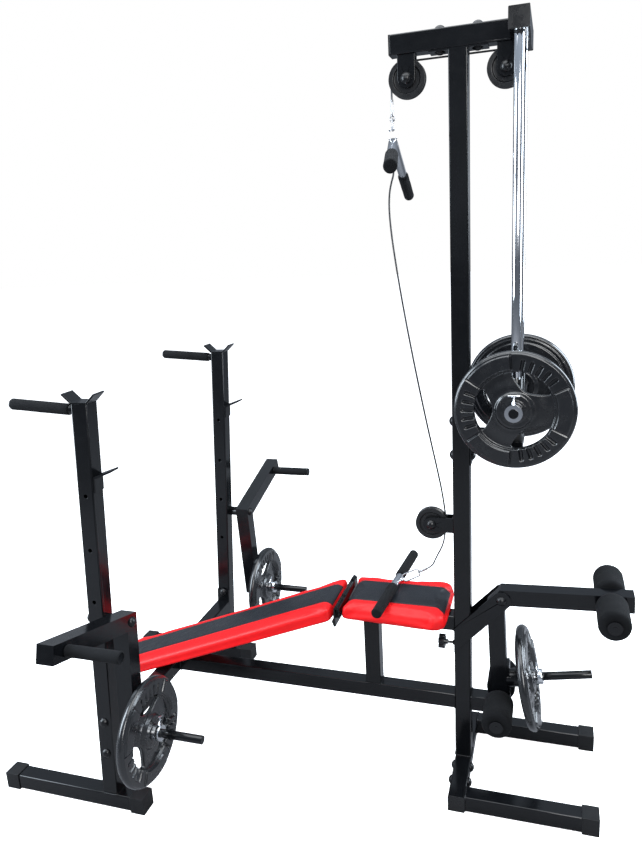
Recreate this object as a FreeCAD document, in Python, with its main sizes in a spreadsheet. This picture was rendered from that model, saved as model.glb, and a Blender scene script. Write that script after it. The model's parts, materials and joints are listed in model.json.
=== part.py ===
import FreeCAD, Part
import math
import os
import re
import Sketcher
from FreeCAD import Placement, Rotation, Vector

# A multi station home gym. +X runs along the bench from the rack to the leg developer, +Y is the left hand
# side, +Z is up. The origin is on the floor under the centre of the tower post. Sizes are in millimetres.

DIMENSIONS = [
    # square steel tube
    ("tube_size", 50.0), ("tube_wall", 2.0), ("tube_corner", 4.0), ("floor_gap", 3.0),
    # rack
    ("rack_foot_length", 505.0), ("rack_foot_start", -1430.0), ("rack_half_gauge", 430.0),
    ("rack_base", -1040.0),
    ("rack_post_rise", 1249.0), ("rack_lean", 3.75), ("rack_hole_first", 500.0), ("rack_hole_pitch", 162.5),
    ("rack_hole_size", 12.0), ("rack_flange_length", 150.0), ("plate_thickness", 5.0),
    ("cradle_reach", 53.0), ("cradle_rise", 26.0), ("catch_level", 1076.0), ("catch_plate_length", 48.0),
    ("dip_level", 1279.0), ("dip_stub_length", 212.0), ("dip_grip_length", 190.0),
    ("bar_size", 25.0), ("grip_size", 32.0), ("grip_gap", 0.3),
    # spine and bench
    ("beam_bottom", 223.0), ("cross_tube_x", -1027.0), ("seat_post_x", -290.0), ("seat_rail_bottom", 497.0),
    ("seat_rail_end", -366.5), ("stop_length", 62.0),
    ("seat_front", -38.0), ("seat_back", -366.0), ("seat_front_width", 266.0), ("seat_back_width", 236.0),
    ("pad_thickness", 50.0), ("seat_corner", 34.0), ("pad_round", 14.0),
    ("backrest_x", -404.0), ("backrest_z", 521.0), ("backrest_angle", 21.75), ("backrest_toe", 21.0),
    ("backrest_lip", 44.0), ("backrest_length", 916.0), ("backrest_width", 242.0), ("rail_width", 40.0),
    ("rail_height", 20.0), ("backrest_rail_length", 600.0), ("hinge_pin_x", -376.0), ("hinge_pin_z", 582.0),
    ("hinge_width", 226.0), ("knuckle_size", 12.0),
    # tower
    ("tower_half_gauge", 184.0), ("tower_foot_reach", 405.0), ("tower_top", 2149.0),
    ("flange_thickness", 4.0),
    ("top_beam_start", -175.0), ("top_beam_end", 130.0), ("top_cross_half_width", 128.0),
    ("rod_x", 155.0), ("rod_half_gauge", 103.0), ("rod_size", 25.0), ("lower_bracket_top", 1140.0),
    ("lower_bracket_height", 30.0), ("buffer_size", 46.0), ("buffer_height", 19.7),
    # pulleys and cable
    ("pulley_size", 98.0), ("pulley_width", 22.0), ("groove_radius", 40.7), ("cable_size", 5.0),
    ("pulley_level", 2091.0), ("front_pulley_x", -135.0), ("rear_pulley_x", 120.0),
    ("low_pulley_x", -91.0), ("low_pulley_z", 842.0),
    # carriage and weights
    ("carriage_level", 1235.0), ("sleeve_size", 38.0), ("sleeve_length", 150.0), ("peg_size", 25.0),
    ("plate_size", 314.0), ("plate_width", 36.0), ("plate_bore", 26.4), ("hub_size", 92.0),
    ("collar_size", 46.0), ("collar_width", 24.0), ("web_width", 18.0), ("window_inner", 60.0),
    ("window_outer", 102.0), ("window_angle", 68.0),
    # fly arms
    ("fly_pivot_y", 438.5), ("fly_pivot_z", 657.0), ("fly_arm_x", -915.0), ("fly_reach", 349.0),
    ("fly_upper_angle", 15.6), ("fly_drop", 337.0), ("fly_lower_angle", 5.1), ("fly_grip_length", 155.0),
    ("fly_peg_length", 205.0),
    # leg developer
    ("leg_pivot_x", 117.0), ("leg_pivot_z", 615.0), ("leg_tilt", 2.3), ("leg_reach", 370.0),
    ("leg_drop", 373.0),
    ("leg_peg_drop", 275.0), ("leg_peg_tilt", 8.5), ("leg_peg_length", 250.0), ("roller_size", 88.0),
    ("roller_length", 124.0), ("roller_axle", 12.0), ("roller_start", 32.0), ("upper_roller_reach", 308.0),
    ("lower_roller_drop", 340.0),
    # handles
    ("lat_bar_level", 1938.0), ("lat_half_width", 410.0), ("lat_yaw", 8.2), ("lat_lean", 10.5),
    ("lat_tip", 1.8), ("lat_droop", 15.1), ("handle_grip_length", 180.0),
    ("row_bar_length", 436.0), ("row_bar_x", -216.0), ("row_bar_y", 41.0), ("row_bar_turn", 4.5),
    # fasteners
    ("bolt_size", 10.0), ("cap_size", 31.0), ("cap_height", 11.0), ("low_cap_height", 6.4),
    ("knob_size", 46.0), ("knob_width", 20.0), ("knob_level", 443.0), ("screw_size", 8.0),
]

ALIASES = {alias for alias, size in DIMENSIONS}

document = FreeCAD.newDocument("home_gym")
sheet = document.addObject("Spreadsheet::Sheet", "Dimensions")
for row, (alias, size) in enumerate(DIMENSIONS, start=1):
    sheet.set("A%d" % row, alias)
    sheet.set("B%d" % row, str(size))
    sheet.setAlias("B%d" % row, alias)
document.recompute()

sub_parts = {}


# ---------------------------------------------------------------- helpers

def dim(alias):
    """A driving dimension as a number."""
    return float(sheet.get(alias))


def bound(expression):
    """The same expression with each driving dimension pointed at the sheet."""
    return re.sub("[a-z_]+", lambda word: "Dimensions." * (word.group() in ALIASES) + word.group(),
                  expression)


def value(expression):
    """What an expression of driving dimensions comes to."""
    return float(sheet.evalExpression(bound(expression)))


def bind(item, **expressions):
    """Tie properties of an object to the sheet."""
    for name, expression in expressions.items():
        item.setExpression(name, bound(expression))


def place(item, x=0.0, y=0.0, z=0.0, turn=None):
    item.Placement = Placement(Vector(x, y, z), turn or Rotation())
    return item


X_AXIS, Y_AXIS, UP = Vector(1, 0, 0), Vector(0, 1, 0), Vector(0, 0, 1)
ALONG_X = Rotation(Y_AXIS, 90)
ALONG_Y = Rotation(X_AXIS, -90)
ALONG_MINUS_X = Rotation(Y_AXIS, -90)
ALONG_MINUS_Y = Rotation(X_AXIS, 90)
SIDES = [("left", 1), ("right", -1)]


def keep(name, item):
    """Name an object as a sub-part that is written out."""
    item.Label = name
    sub_parts[name] = item
    return item


def plane(body, role):
    return [feature for feature in body.Origin.OriginFeatures if feature.Role == role][0]


def new_sketch(body, role="XY_Plane"):
    sketch = body.newObject("Sketcher::SketchObject", body.Name + "_sketch")
    sketch.AttachmentSupport = [(plane(body, role), "")]
    sketch.MapMode = "FlatFace"
    return sketch


def constrain(sketch, kind, *arguments, expression=None):
    """Add one constraint, tied to the sheet when an expression is given."""
    if expression is None:
        return sketch.addConstraint(Sketcher.Constraint(kind, *arguments))
    index = sketch.addConstraint(Sketcher.Constraint(kind, *arguments, value(expression)))
    sketch.setExpression("Constraints[%d]" % index, bound(expression))
    return index


def rounded_square(sketch, size, corner):
    """A square about the sketch's origin with round corners."""
    half, radius = value(size) / 2, value(corner)
    flat = half - radius
    lines, arcs = [], []
    for quarter in range(4):
        turn = Rotation(UP, 90 * quarter)
        start, end = turn.multVec(Vector(-flat, -half, 0)), turn.multVec(Vector(flat, -half, 0))
        lines.append(sketch.addGeometry(Part.LineSegment(start, end)))
        circle = Part.Circle(turn.multVec(Vector(flat, -flat, 0)), Vector(0, 0, 1), radius)
        first = math.radians(90 * quarter - 90)
        arcs.append(sketch.addGeometry(Part.ArcOfCircle(circle, first, first + math.pi / 2)))
    for quarter in range(4):
        constrain(sketch, "Tangent", lines[quarter], 2, arcs[quarter], 1)
        constrain(sketch, "Tangent", arcs[quarter], 2, lines[(quarter + 1) % 4], 1)
        constrain(sketch, "Vertical" if quarter % 2 else "Horizontal", lines[quarter])
    for quarter in range(1, 4):
        constrain(sketch, "Equal", arcs[0], arcs[quarter])
    constrain(sketch, "Symmetric", arcs[0], 3, arcs[2], 3, -1, 1)
    constrain(sketch, "Radius", arcs[0], expression=corner)
    constrain(sketch, "DistanceX", lines[3], 1, lines[1], 1, expression=size)
    constrain(sketch, "DistanceY", lines[0], 1, lines[2], 1, expression=size)


def polygon(sketch, points):
    """A closed outline whose corners are pairs of expressions."""
    corners = [Vector(value(x), value(y), 0) for x, y in points]
    lines = []
    for index, corner in enumerate(corners):
        following = corners[(index + 1) % len(corners)]
        lines.append(sketch.addGeometry(Part.LineSegment(corner, following)))
    for index, line in enumerate(lines):
        constrain(sketch, "Coincident", line, 2, lines[(index + 1) % len(lines)], 1)
        constrain(sketch, "DistanceX", -1, 1, line, 1, expression=points[index][0])
        constrain(sketch, "DistanceY", -1, 1, line, 1, expression=points[index][1])


def circle(sketch, x, y, diameter):
    index = sketch.addGeometry(Part.Circle(Vector(value(x), value(y), 0), Vector(0, 0, 1),
                                           value(diameter) / 2))
    constrain(sketch, "DistanceX", -1, 1, index, 3, expression=x)
    constrain(sketch, "DistanceY", -1, 1, index, 3, expression=y)
    constrain(sketch, "Diameter", index, expression=diameter)


def pad(body, sketch, length, midplane=False):
    feature = body.newObject("PartDesign::Pad", body.Name + "_pad")
    feature.Profile = sketch
    feature.Midplane = midplane
    bind(feature, Length=length)
    sketch.Visibility = False
    return feature


def pocket_through(body, sketch):
    feature = body.newObject("PartDesign::Pocket", body.Name + "_pocket")
    feature.Profile = sketch
    feature.Type = "ThroughAll"
    feature.Midplane = True
    return feature


def square_tube(name, length, lean=0.0):
    """A hollow square tube from its own origin along +Z, cut level at both ends when it leans towards +X."""
    body = document.addObject("PartDesign::Body", name)
    sketch = new_sketch(body)
    rounded_square(sketch, "tube_size", "tube_corner")
    rounded_square(sketch, "tube_size - 2 * tube_wall", "tube_corner - tube_wall")
    feature = pad(body, sketch, length)
    if lean:
        feature.UseCustomVector = True
        feature.Direction = Vector(math.sin(math.radians(lean)), 0, math.cos(math.radians(lean)))
        feature.AlongSketchNormal = True
    return body


def block(name, length, width, height, x=0.0, y=0.0, z=0.0, turn=None):
    """A box centred on X and Y, rising from its own origin, then placed."""
    item = document.addObject("Part::Box", name)
    bind(item, Length=length, Width=width, Height=height)
    turn = turn or Rotation()
    corner = turn.multVec(Vector(-value(length) / 2, -value(width) / 2, 0))
    return place(item, x + corner.x, y + corner.y, z + corner.z, turn)


def rod(name, diameter, length, x=0.0, y=0.0, z=0.0, turn=None):
    """A round bar from a point along its turned Z axis."""
    item = document.addObject("Part::Cylinder", name)
    bind(item, Radius="(%s) / 2" % diameter, Height=length)
    return place(item, x, y, z, turn)


def ring(name, outer, inner, length, x=0.0, y=0.0, z=0.0, turn=None):
    return cut(name, rod(name + "_outer", outer, length, x, y, z, turn),
               rod(name + "_bore", inner, length, x, y, z, turn))


def cut(name, base, tool):
    item = document.addObject("Part::Cut", name)
    item.Base = base
    item.Tool = tool
    return item


def fuse(name, *pieces):
    item = document.addObject("Part::MultiFuse", name)
    item.Shapes = list(pieces)
    return item


def group(name, *pieces):
    """Separate solids that share one node."""
    item = document.addObject("Part::Compound", name)
    item.Links = list(pieces)
    return keep(name, item)


def mirrored(name, source):
    """The same piece on the other side of the middle plane."""
    item = document.addObject("Part::Mirroring", name)
    item.Source = source
    item.Normal = Vector(0, 1, 0)
    return item


def pair(name, source):
    return group(name, source, mirrored(name + "_right", source))


def both_sides(name, source):
    """Two nodes, left and right."""
    keep(name + "_left", source)
    keep(name + "_right", mirrored(name + "_right", source))


def route_wire(points, radii):
    """Straight runs joined by tangent arcs; each inner point has its radius."""
    edges, start = [], points[0]
    for previous, corner, following, radius in zip(points, points[1:], points[2:], radii):
        back = (previous - corner).normalize()
        ahead = (following - corner).normalize()
        half_turn = (math.pi - back.getAngle(ahead)) / 2
        reach = radius * math.tan(half_turn)
        middle = corner + (back + ahead).normalize() * (radius / math.cos(half_turn) - radius)
        edges.append(Part.LineSegment(start, corner + back * reach).toShape())
        edges.append(Part.Arc(corner + back * reach, middle, corner + ahead * reach).toShape())
        start = corner + ahead * reach
    edges.append(Part.LineSegment(start, points[-1]).toShape())
    return Part.Wire(edges)


def natural_radii(points):
    """The largest bend radius that each inner point leaves room for."""
    radii = []
    for previous, corner, following in zip(points, points[1:], points[2:]):
        back, ahead = previous - corner, following - corner
        half_turn = (math.pi - back.getAngle(ahead)) / 2
        radii.append(0.45 * min(back.Length, ahead.Length) / math.tan(half_turn))
    return radii


def swept(name, wire, diameter):
    """A round section carried along a wire."""
    start = wire.Edges[0].valueAt(wire.Edges[0].FirstParameter)
    direction = wire.Edges[0].tangentAt(wire.Edges[0].FirstParameter)
    section = Part.Wire([Part.makeCircle(value(diameter) / 2, start, direction)])
    item = document.addObject("Part::Feature", name)
    item.Shape = wire.makePipeShell([section], True, False)
    item.Placement = Placement()
    return item


# ---------------------------------------------------------------- fasteners and end caps

def cap_dome(height):
    """A domed cap that stands on its origin and rises along Z."""
    radius = dim("cap_size") / 2
    sphere_radius = (radius ** 2 + height ** 2) / (2 * height)
    ball = Part.makeSphere(sphere_radius, Vector(0, 0, height - sphere_radius))
    return ball.common(Part.makeCylinder(radius, height))


def cap_bolt(centre, turn, grip, end_height="cap_height"):
    """A through bolt with a domed cap on each end; its axis is its turned Z and the grip is centred."""
    top, bottom = cap_dome(dim("cap_height")), cap_dome(dim(end_height))
    top.Placement = Placement(Vector(0, 0, grip / 2), Rotation())
    bottom.Placement = Placement(Vector(0, 0, -grip / 2), Rotation(X_AXIS, 180))
    bolt = Part.makeCylinder(dim("bolt_size") / 2, grip, Vector(0, 0, -grip / 2)).fuse([top, bottom])
    bolt.Placement = Placement(centre, turn)
    return bolt


def end_plug(name, x, y, z, turn, flange=3.0):
    """A square plug pushed into a tube end, its flange outside."""
    head = block(name + "_head", "tube_size", "tube_size", str(flange), x, y, z, turn)
    stem = block(name + "_stem", "tube_size - 2 * tube_wall - 0.2", "tube_size - 2 * tube_wall - 0.2", "20",
                 *(Vector(x, y, z) - turn.multVec(Vector(0, 0, 20))), turn)
    pieces = []
    for square in (head, stem):
        softened = document.addObject("Part::Fillet", square.Name + "_rounded")
        softened.Base = square
        softened.Edges = [(edge, 2.5, 2.5) for edge in (1, 3, 5, 7)]
        pieces.append(softened)
    return fuse(name, *pieces)


def foot_cap(name, x, y, turn):
    """A rubber cap over the end of a floor tube; its closed end faces along its turned Z."""
    wall = dim("floor_gap")
    centre_z = wall + dim("tube_size") / 2
    outer = block(name + "_outer", "tube_size + 2 * floor_gap", "tube_size + 2 * floor_gap", "48", x, y,
                  centre_z, turn)
    back = turn.multVec(Vector(0, 0, -1))
    inner = block(name + "_inner", "tube_size", "tube_size", "48", *(Vector(x, y, centre_z) + back * wall),
                  turn)
    return cut(name, outer, inner)


TUBE = dim("tube_size")
HALF_TUBE = TUBE / 2
FLOOR_TUBE_Z = dim("floor_gap") + HALF_TUBE
FLOOR_TUBE_TOP = dim("floor_gap") + TUBE
LEAN = math.tan(math.radians(dim("rack_lean")))
GAP = dim("grip_gap")


def rack_x(z):
    """Centre of the leaning rack uprights at a height."""
    return dim("rack_base") + (z - FLOOR_TUBE_TOP) * LEAN


# ---------------------------------------------------------------- bolts that hold and pivot the frame

POST_TOP = dim("tower_top") - dim("flange_thickness")
LOWER_BRACKET_MIDDLE = dim("lower_bracket_top") - dim("lower_bracket_height") / 2
EAR_OUTER = dim("pulley_width") / 2 + 3 + dim("plate_thickness")
FLY_FACE = dim("fly_arm_x") + HALF_TUBE
LEG_PIVOT = Vector(dim("leg_pivot_x"), 0, dim("leg_pivot_z"))

BOLTS = []
for side_name, side in SIDES:
    for level in (203, 312):
        middle = dim("rack_half_gauge") - dim("plate_thickness") / 2
        BOLTS.append((Vector(rack_x(level), side * middle, level), ALONG_Y, TUBE + dim("plate_thickness")))
    back_face = rack_x(dim("fly_pivot_z")) - HALF_TUBE - 1.2
    front_face = FLY_FACE + GAP
    BOLTS.append((Vector((back_face + front_face) / 2, side * dim("fly_pivot_y"), dim("fly_pivot_z")),
                  ALONG_X, front_face - back_face))
for offset in (-40, -109):
    BOLTS.append((Vector(0, offset, HALF_TUBE), ALONG_X, TUBE))
for level in (LOWER_BRACKET_MIDDLE - 65, LOWER_BRACKET_MIDDLE + 37):
    BOLTS.append((Vector(dim("flange_thickness") / 2, 0, level), ALONG_X, TUBE + dim("flange_thickness")))
for offset in (-48, 48):
    BOLTS.append((Vector(offset, 0, (POST_TOP + dim("tower_top") + TUBE) / 2), Rotation(),
                  TUBE + dim("flange_thickness"), "low_cap_height"))
for x, z in ((dim("front_pulley_x"), dim("pulley_level")), (dim("rear_pulley_x"), dim("pulley_level")),
             (dim("low_pulley_x"), dim("low_pulley_z"))):
    BOLTS.append((Vector(x, 0, z), ALONG_Y, 2 * EAR_OUTER))
BOLTS.append((LEG_PIVOT, ALONG_Y, TUBE + 2 * dim("plate_thickness")))

bolts = document.addObject("Part::Feature", "bolts")
bolts.Shape = Part.makeCompound([cap_bolt(*bolt) for bolt in BOLTS])
keep("frame_bolts", bolts)

holes = document.addObject("Part::Compound", "bolt_holes")
holes.Links = [rod("hole", "bolt_size + 0.6", str(grip + 2),
                   *(centre - turn.multVec(Vector(0, 0, grip / 2 + 1))), turn)
               for centre, turn, grip, *_ in BOLTS]


def drilled(name, base):
    return cut(name, base, holes)


# ---------------------------------------------------------------- rack

foot = place(square_tube("rack_foot", "rack_foot_length"), dim("rack_foot_start"), dim("rack_half_gauge"),
             FLOOR_TUBE_Z, ALONG_X)
pair("rack_feet", foot)

rack_post = square_tube("rack_post", "rack_post_rise", dim("rack_lean"))
hole_sketch = new_sketch(rack_post, "XZ_Plane")
for step in range(4):
    level = "( rack_hole_first + %d * rack_hole_pitch )" % step
    circle(hole_sketch, level + " * tan(rack_lean)", level, "rack_hole_size")
pocket_through(rack_post, hole_sketch)
place(rack_post, dim("rack_base"), dim("rack_half_gauge"), FLOOR_TUBE_TOP)
both_sides("rack_post", drilled("rack_post_drilled", rack_post))

LEAN_TURN = Rotation(Y_AXIS, dim("rack_lean"))
cradle = document.addObject("PartDesign::Body", "cradle")
cradle_sketch = new_sketch(cradle, "XZ_Plane")
polygon(cradle_sketch, [
    ("0 - tube_size / 2", "0"), ("tube_size / 2", "0"), ("cradle_reach", "cradle_rise"),
    ("cradle_reach - 4", "cradle_rise + 3"), ("tube_size / 2 - 2", "plate_thickness"),
    ("2 - tube_size / 2", "plate_thickness"), ("4 - cradle_reach", "cradle_rise + 3"),
    ("0 - cradle_reach", "cradle_rise")])
pad(cradle, cradle_sketch, "tube_size", midplane=True)
RACK_TOP = FLOOR_TUBE_TOP + dim("rack_post_rise")
place(cradle, rack_x(RACK_TOP), dim("rack_half_gauge"), RACK_TOP)
pair("bar_cradles", cradle)

catch = document.addObject("PartDesign::Body", "catch")
catch_sketch = new_sketch(catch, "XZ_Plane")
polygon(catch_sketch, [
    ("0", "0 - catch_plate_length / 2"), ("plate_thickness", "0 - catch_plate_length / 2"),
    ("plate_thickness", "catch_plate_length / 2 - 8"), ("57", "catch_plate_length / 2 + 17"),
    ("55", "catch_plate_length / 2 + 22"), ("0", "catch_plate_length / 2 - 2")])
pad(catch, catch_sketch, "tube_size - 8", midplane=True)
catch_face = Vector(rack_x(dim("catch_level")), 0, dim("catch_level")) + LEAN_TURN.multVec(Vector(HALF_TUBE,
                                                                                                  0, 0))
place(catch, catch_face.x, dim("rack_half_gauge"), catch_face.z, LEAN_TURN)
pair("safety_catches", catch)

DIP_TURN = Rotation(Y_AXIS, dim("rack_lean") - 90)
dip_root = Vector(rack_x(dim("dip_level")), dim("rack_half_gauge"), dim("dip_level"))
dip_root += DIP_TURN.multVec(Vector(0, 0, HALF_TUBE))
pair("dip_bars", rod("dip_bar", "bar_size", "dip_stub_length", *dip_root, DIP_TURN))
pair("dip_grips", ring("dip_grip", "grip_size", "bar_size + 2 * grip_gap", "dip_grip_length",
                       *(dip_root + DIP_TURN.multVec(Vector(0, 0, 19))), DIP_TURN))

BEAM_Z = dim("beam_bottom") + HALF_TUBE
cross_half = dim("rack_half_gauge") - HALF_TUBE - dim("plate_thickness")
cross = place(square_tube("cross", "2 * rack_half_gauge - tube_size - 2 * plate_thickness"),
              dim("cross_tube_x"), -cross_half, BEAM_Z, ALONG_Y)
flange_foot = BEAM_Z - dim("rack_flange_length") / 2
flanges = [block("cross_flange", "tube_size", "plate_thickness", "rack_flange_length", rack_x(flange_foot),
                 side * (cross_half + dim("plate_thickness") / 2), flange_foot, LEAN_TURN) for _,
           side in SIDES]
keep("rear_cross_tube", drilled("cross_drilled", fuse("cross_welded", cross, *flanges)))

# ---------------------------------------------------------------- spine and seat

keep("main_beam", place(square_tube("beam", "0 - cross_tube_x - tube_size"),
                        dim("cross_tube_x") + HALF_TUBE, 0, BEAM_Z, ALONG_X))
keep("leg_arm_stop", place(square_tube("stop", "stop_length"), HALF_TUBE, 0, BEAM_Z, ALONG_X))
keep("seat_support_post", place(square_tube("seat_post", "seat_rail_bottom - beam_bottom - tube_size"),
                                dim("seat_post_x"), 0, dim("beam_bottom") + TUBE))

HINGE_PIN = Vector(dim("hinge_pin_x"), 0, dim("hinge_pin_z"))
SEAT_PLATE_X = dim("seat_rail_end")
rail = place(square_tube("rail", "0 - seat_rail_end - tube_size / 2"), dim("seat_rail_end"), 0,
             dim("seat_rail_bottom") + HALF_TUBE, ALONG_X)
upright = block("hinge_upright", "2.6", "tube_size - 4", "56", SEAT_PLATE_X - 1.6, 0, 501)
SEAT_BASE = dim("seat_rail_bottom") + TUBE + 0.4
cross_plate = block("hinge_cross_plate", "3.2", "hinge_width", "33", SEAT_PLATE_X - 1.6, 0, SEAT_BASE + 3)
middle_knuckle = rod("seat_knuckle", "knuckle_size", "60", HINGE_PIN.x, -30, HINGE_PIN.z, ALONG_Y)
web = block("seat_knuckle_web", "8", "60", "6", SEAT_PLATE_X - 5, 0, HINGE_PIN.z - 3)
pin = rod("hinge_pin", "knuckle_size / 2", "hinge_width", HINGE_PIN.x, -dim("hinge_width") / 2, HINGE_PIN.z,
          ALONG_Y)
keep("seat_rail", fuse("seat_rail_welded", rail, upright, cross_plate, middle_knuckle, web, pin))


def edges_where(feature, test):
    """Names of a feature's edges that pass a test."""
    return ["Edge%d" % (index + 1) for index, edge in enumerate(feature.Shape.Edges) if test(edge)]


def is_upright(edge):
    start, end = edge.firstVertex().Point, edge.lastVertex().Point
    return abs(start.x - end.x) < 0.01 and abs(start.y - end.y) < 0.01


def rounded(body, feature, radius, test):
    """A fillet on the feature's edges that pass a test."""
    document.recompute()
    fillet = body.newObject("PartDesign::Fillet", body.Name + "_fillet")
    fillet.Base = (feature, edges_where(feature, test))
    bind(fillet, Radius=radius)
    return fillet


seat = document.addObject("PartDesign::Body", "seat")
seat_sketch = new_sketch(seat)
polygon(seat_sketch, [
    ("seat_back", "0 - seat_back_width / 2"), ("seat_front", "0 - seat_front_width / 2"),
    ("seat_front", "seat_front_width / 2"), ("seat_back", "seat_back_width / 2")])
seat_block = pad(seat, seat_sketch, "pad_thickness")
seat_corners = rounded(seat, seat_block, "seat_corner",
                       lambda edge: is_upright(edge) and edge.BoundBox.XMin > -100)
seat_corners = rounded(seat, seat_corners, "pad_round",
                       lambda edge: is_upright(edge) and edge.BoundBox.XMin < -300)
rounded(seat, seat_corners, "pad_round", lambda edge: edge.BoundBox.ZMin > dim("pad_thickness") - 0.01)
place(seat, 0, 0, SEAT_BASE)
keep("seat_pad", seat)

# ---------------------------------------------------------------- backrest

BACKREST = Placement(Vector(dim("backrest_x"), 0, dim("backrest_z")),
                     Rotation(Y_AXIS, -dim("backrest_angle")) * Rotation(UP, 180))
back_pad = document.addObject("PartDesign::Body", "back_pad")
back_sketch = new_sketch(back_pad, "XZ_Plane")
polygon(back_sketch, [
    ("0 - backrest_toe", "rail_height / 2 + 0.4"), ("backrest_length", "rail_height / 2 + 0.4"),
    ("backrest_length", "rail_height / 2 + pad_thickness"),
                      ("0 - backrest_lip", "rail_height / 2 + pad_thickness")])
back_block = pad(back_pad, back_sketch, "backrest_width", midplane=True)
rounded(back_pad, back_block, "pad_round", lambda edge: edge.BoundBox.ZMin > dim("pad_thickness"))
back_pad.Placement = BACKREST
keep("backrest_pad", back_pad)

back_rail = block("back_rail", "backrest_rail_length", "rail_width", "rail_height", 0, 0, 0)
back_rail.Placement = BACKREST.multiply(Placement(Vector(-16, -dim("rail_width") / 2,
                                                         -dim("rail_height") / 2), Rotation()))
end_bar = document.addObject("PartDesign::Body", "end_bar")
end_sketch = new_sketch(end_bar, "XZ_Plane")
polygon(end_sketch, [
    ("0 - backrest_toe - 0.4", "0 - rail_height / 2"), ("0 - backrest_toe + 6", "0 - rail_height / 2"),
    ("0 - backrest_toe + 6", "rail_height / 2"), ("0 - backrest_toe - 0.4", "rail_height / 2"),
    ("0 - backrest_toe - 18", "rail_height / 2 + 37"), ("0 - backrest_toe - 22", "rail_height / 2 + 37")])
pad(end_bar, end_sketch, "hinge_width", midplane=True)
end_bar.Placement = BACKREST
knuckles = [rod("back_knuckle", "knuckle_size", "30", HINGE_PIN.x, start, HINGE_PIN.z, ALONG_Y)
            for start in (-dim("hinge_width") / 2, dim("hinge_width") / 2 - 30)]
pin_hole = rod("pin_hole", "knuckle_size / 2 + 0.6", "hinge_width + 4", HINGE_PIN.x,
               -dim("hinge_width") / 2 - 2,
               HINGE_PIN.z, ALONG_Y)
seat_side = block("seat_side", "30", "61", "24", HINGE_PIN.x + 9, 0, HINGE_PIN.z - 12)
backrest_welded = fuse("backrest_welded", back_rail, end_bar, *knuckles)
keep("backrest_frame", cut("backrest_bored", cut("backrest_notched", backrest_welded, pin_hole), seat_side))

# ---------------------------------------------------------------- tower

base = place(square_tube("base", "2 * tower_half_gauge + tube_size"), 0,
             -dim("tower_half_gauge") - HALF_TUBE, HALF_TUBE, ALONG_Y)
keep("tower_base_tube", drilled("base_drilled", base))
tower_foot = place(square_tube("tower_foot", "tower_foot_reach - floor_gap - tube_size / 2"), HALF_TUBE,
                   dim("tower_half_gauge"), FLOOR_TUBE_Z, ALONG_X)
pair("tower_feet", tower_foot)

post = square_tube("post", "tower_top - flange_thickness - tube_size")
slot_sketch = new_sketch(post, "YZ_Plane")
circle(slot_sketch, "0", "pulley_level + groove_radius + cable_size / 2 - tube_size", "16")
circle(slot_sketch, "0", "knob_level - tube_size", "screw_size + 0.6")
pocket_through(post, slot_sketch)
place(post, 0, 0, TUBE)
post_flange = block("post_flange", "150", "tube_size", "flange_thickness", 0, 0, POST_TOP)
weld_nut = document.addObject("Part::Prism", "weld_nut")
weld_nut.Polygon = 6
bind(weld_nut, Circumradius="screw_size + 1", Height="screw_size - 1")
place(weld_nut, -HALF_TUBE, 0, dim("knob_level"), ALONG_MINUS_X)
nut_bore = rod("nut_bore", "screw_size + 0.6", "20", -HALF_TUBE - 15, 0, dim("knob_level"), ALONG_X)
post_welded = fuse("post_welded", post, post_flange, cut("nut", weld_nut, nut_bore))
keep("tower_post", drilled("post_drilled", post_welded))

BEAM_TOP_Z = dim("tower_top") + HALF_TUBE
top_beam = place(square_tube("top_tube", "top_beam_end - top_beam_start"), dim("top_beam_start"), 0,
                 BEAM_TOP_Z, ALONG_X)
keep("top_beam", drilled("top_beam_drilled", top_beam))
top_half = dim("top_cross_half_width") - 3
keep("top_cross_tube", place(square_tube("top_cross", "2 * top_cross_half_width - 6"), dim("rod_x"),
                             -top_half,
                             BEAM_TOP_Z, ALONG_Y))
pair("guide_rods", rod("guide_rod", "rod_size", "tower_top - lower_bracket_top", dim("rod_x"),
                       dim("rod_half_gauge"), dim("lower_bracket_top")))

bracket_bottom = dim("lower_bracket_top") - dim("lower_bracket_height")
bracket_flange = block("bracket_flange", "flange_thickness", "tube_size", "155",
                       HALF_TUBE + dim("flange_thickness") / 2, 0, LOWER_BRACKET_MIDDLE - 90)
bracket_arm = block("bracket_arm", "rod_x - 45", "40", "lower_bracket_height",
                    HALF_TUBE + dim("flange_thickness") + (dim("rod_x") - 45) / 2, 0, bracket_bottom)
bracket_cross = block("bracket_cross", "40", "2 * top_cross_half_width", "lower_bracket_height",
                      dim("rod_x"), 0,
                      bracket_bottom)
keep("lower_guide_bracket", drilled("bracket_drilled", fuse("bracket_welded", bracket_flange, bracket_arm,
                                                            bracket_cross)))
pair("guide_buffers", ring("guide_buffer", "buffer_size", "rod_size + 0.6", "buffer_height", dim("rod_x"),
                           dim("rod_half_gauge"), dim("lower_bracket_top")))

group("foot_caps",
      *[foot_cap("rack_cap", x, side * dim("rack_half_gauge"), turn) for _, side in SIDES
        for x, turn in ((dim("rack_foot_start") + 45, ALONG_MINUS_X),
                        (dim("rack_foot_start") + dim("rack_foot_length") - 45, ALONG_X))],
      *[foot_cap("tower_cap", dim("tower_foot_reach") - 48, side * dim("tower_half_gauge"), ALONG_X)
        for _, side in SIDES])

group("tube_end_plugs",
      end_plug("base_plug_left", 0, dim("tower_half_gauge") + HALF_TUBE, HALF_TUBE, ALONG_Y),
      end_plug("base_plug_right", 0, -dim("tower_half_gauge") - HALF_TUBE, HALF_TUBE, ALONG_MINUS_Y),
      end_plug("top_plug_left", dim("rod_x"), top_half, BEAM_TOP_Z, ALONG_Y),
      end_plug("top_plug_right", dim("rod_x"), -top_half, BEAM_TOP_Z, ALONG_MINUS_Y),
      end_plug("beam_plug", dim("top_beam_start"), 0, BEAM_TOP_Z, ALONG_MINUS_X, flange=4.0))


# ---------------------------------------------------------------- pulleys

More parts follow.
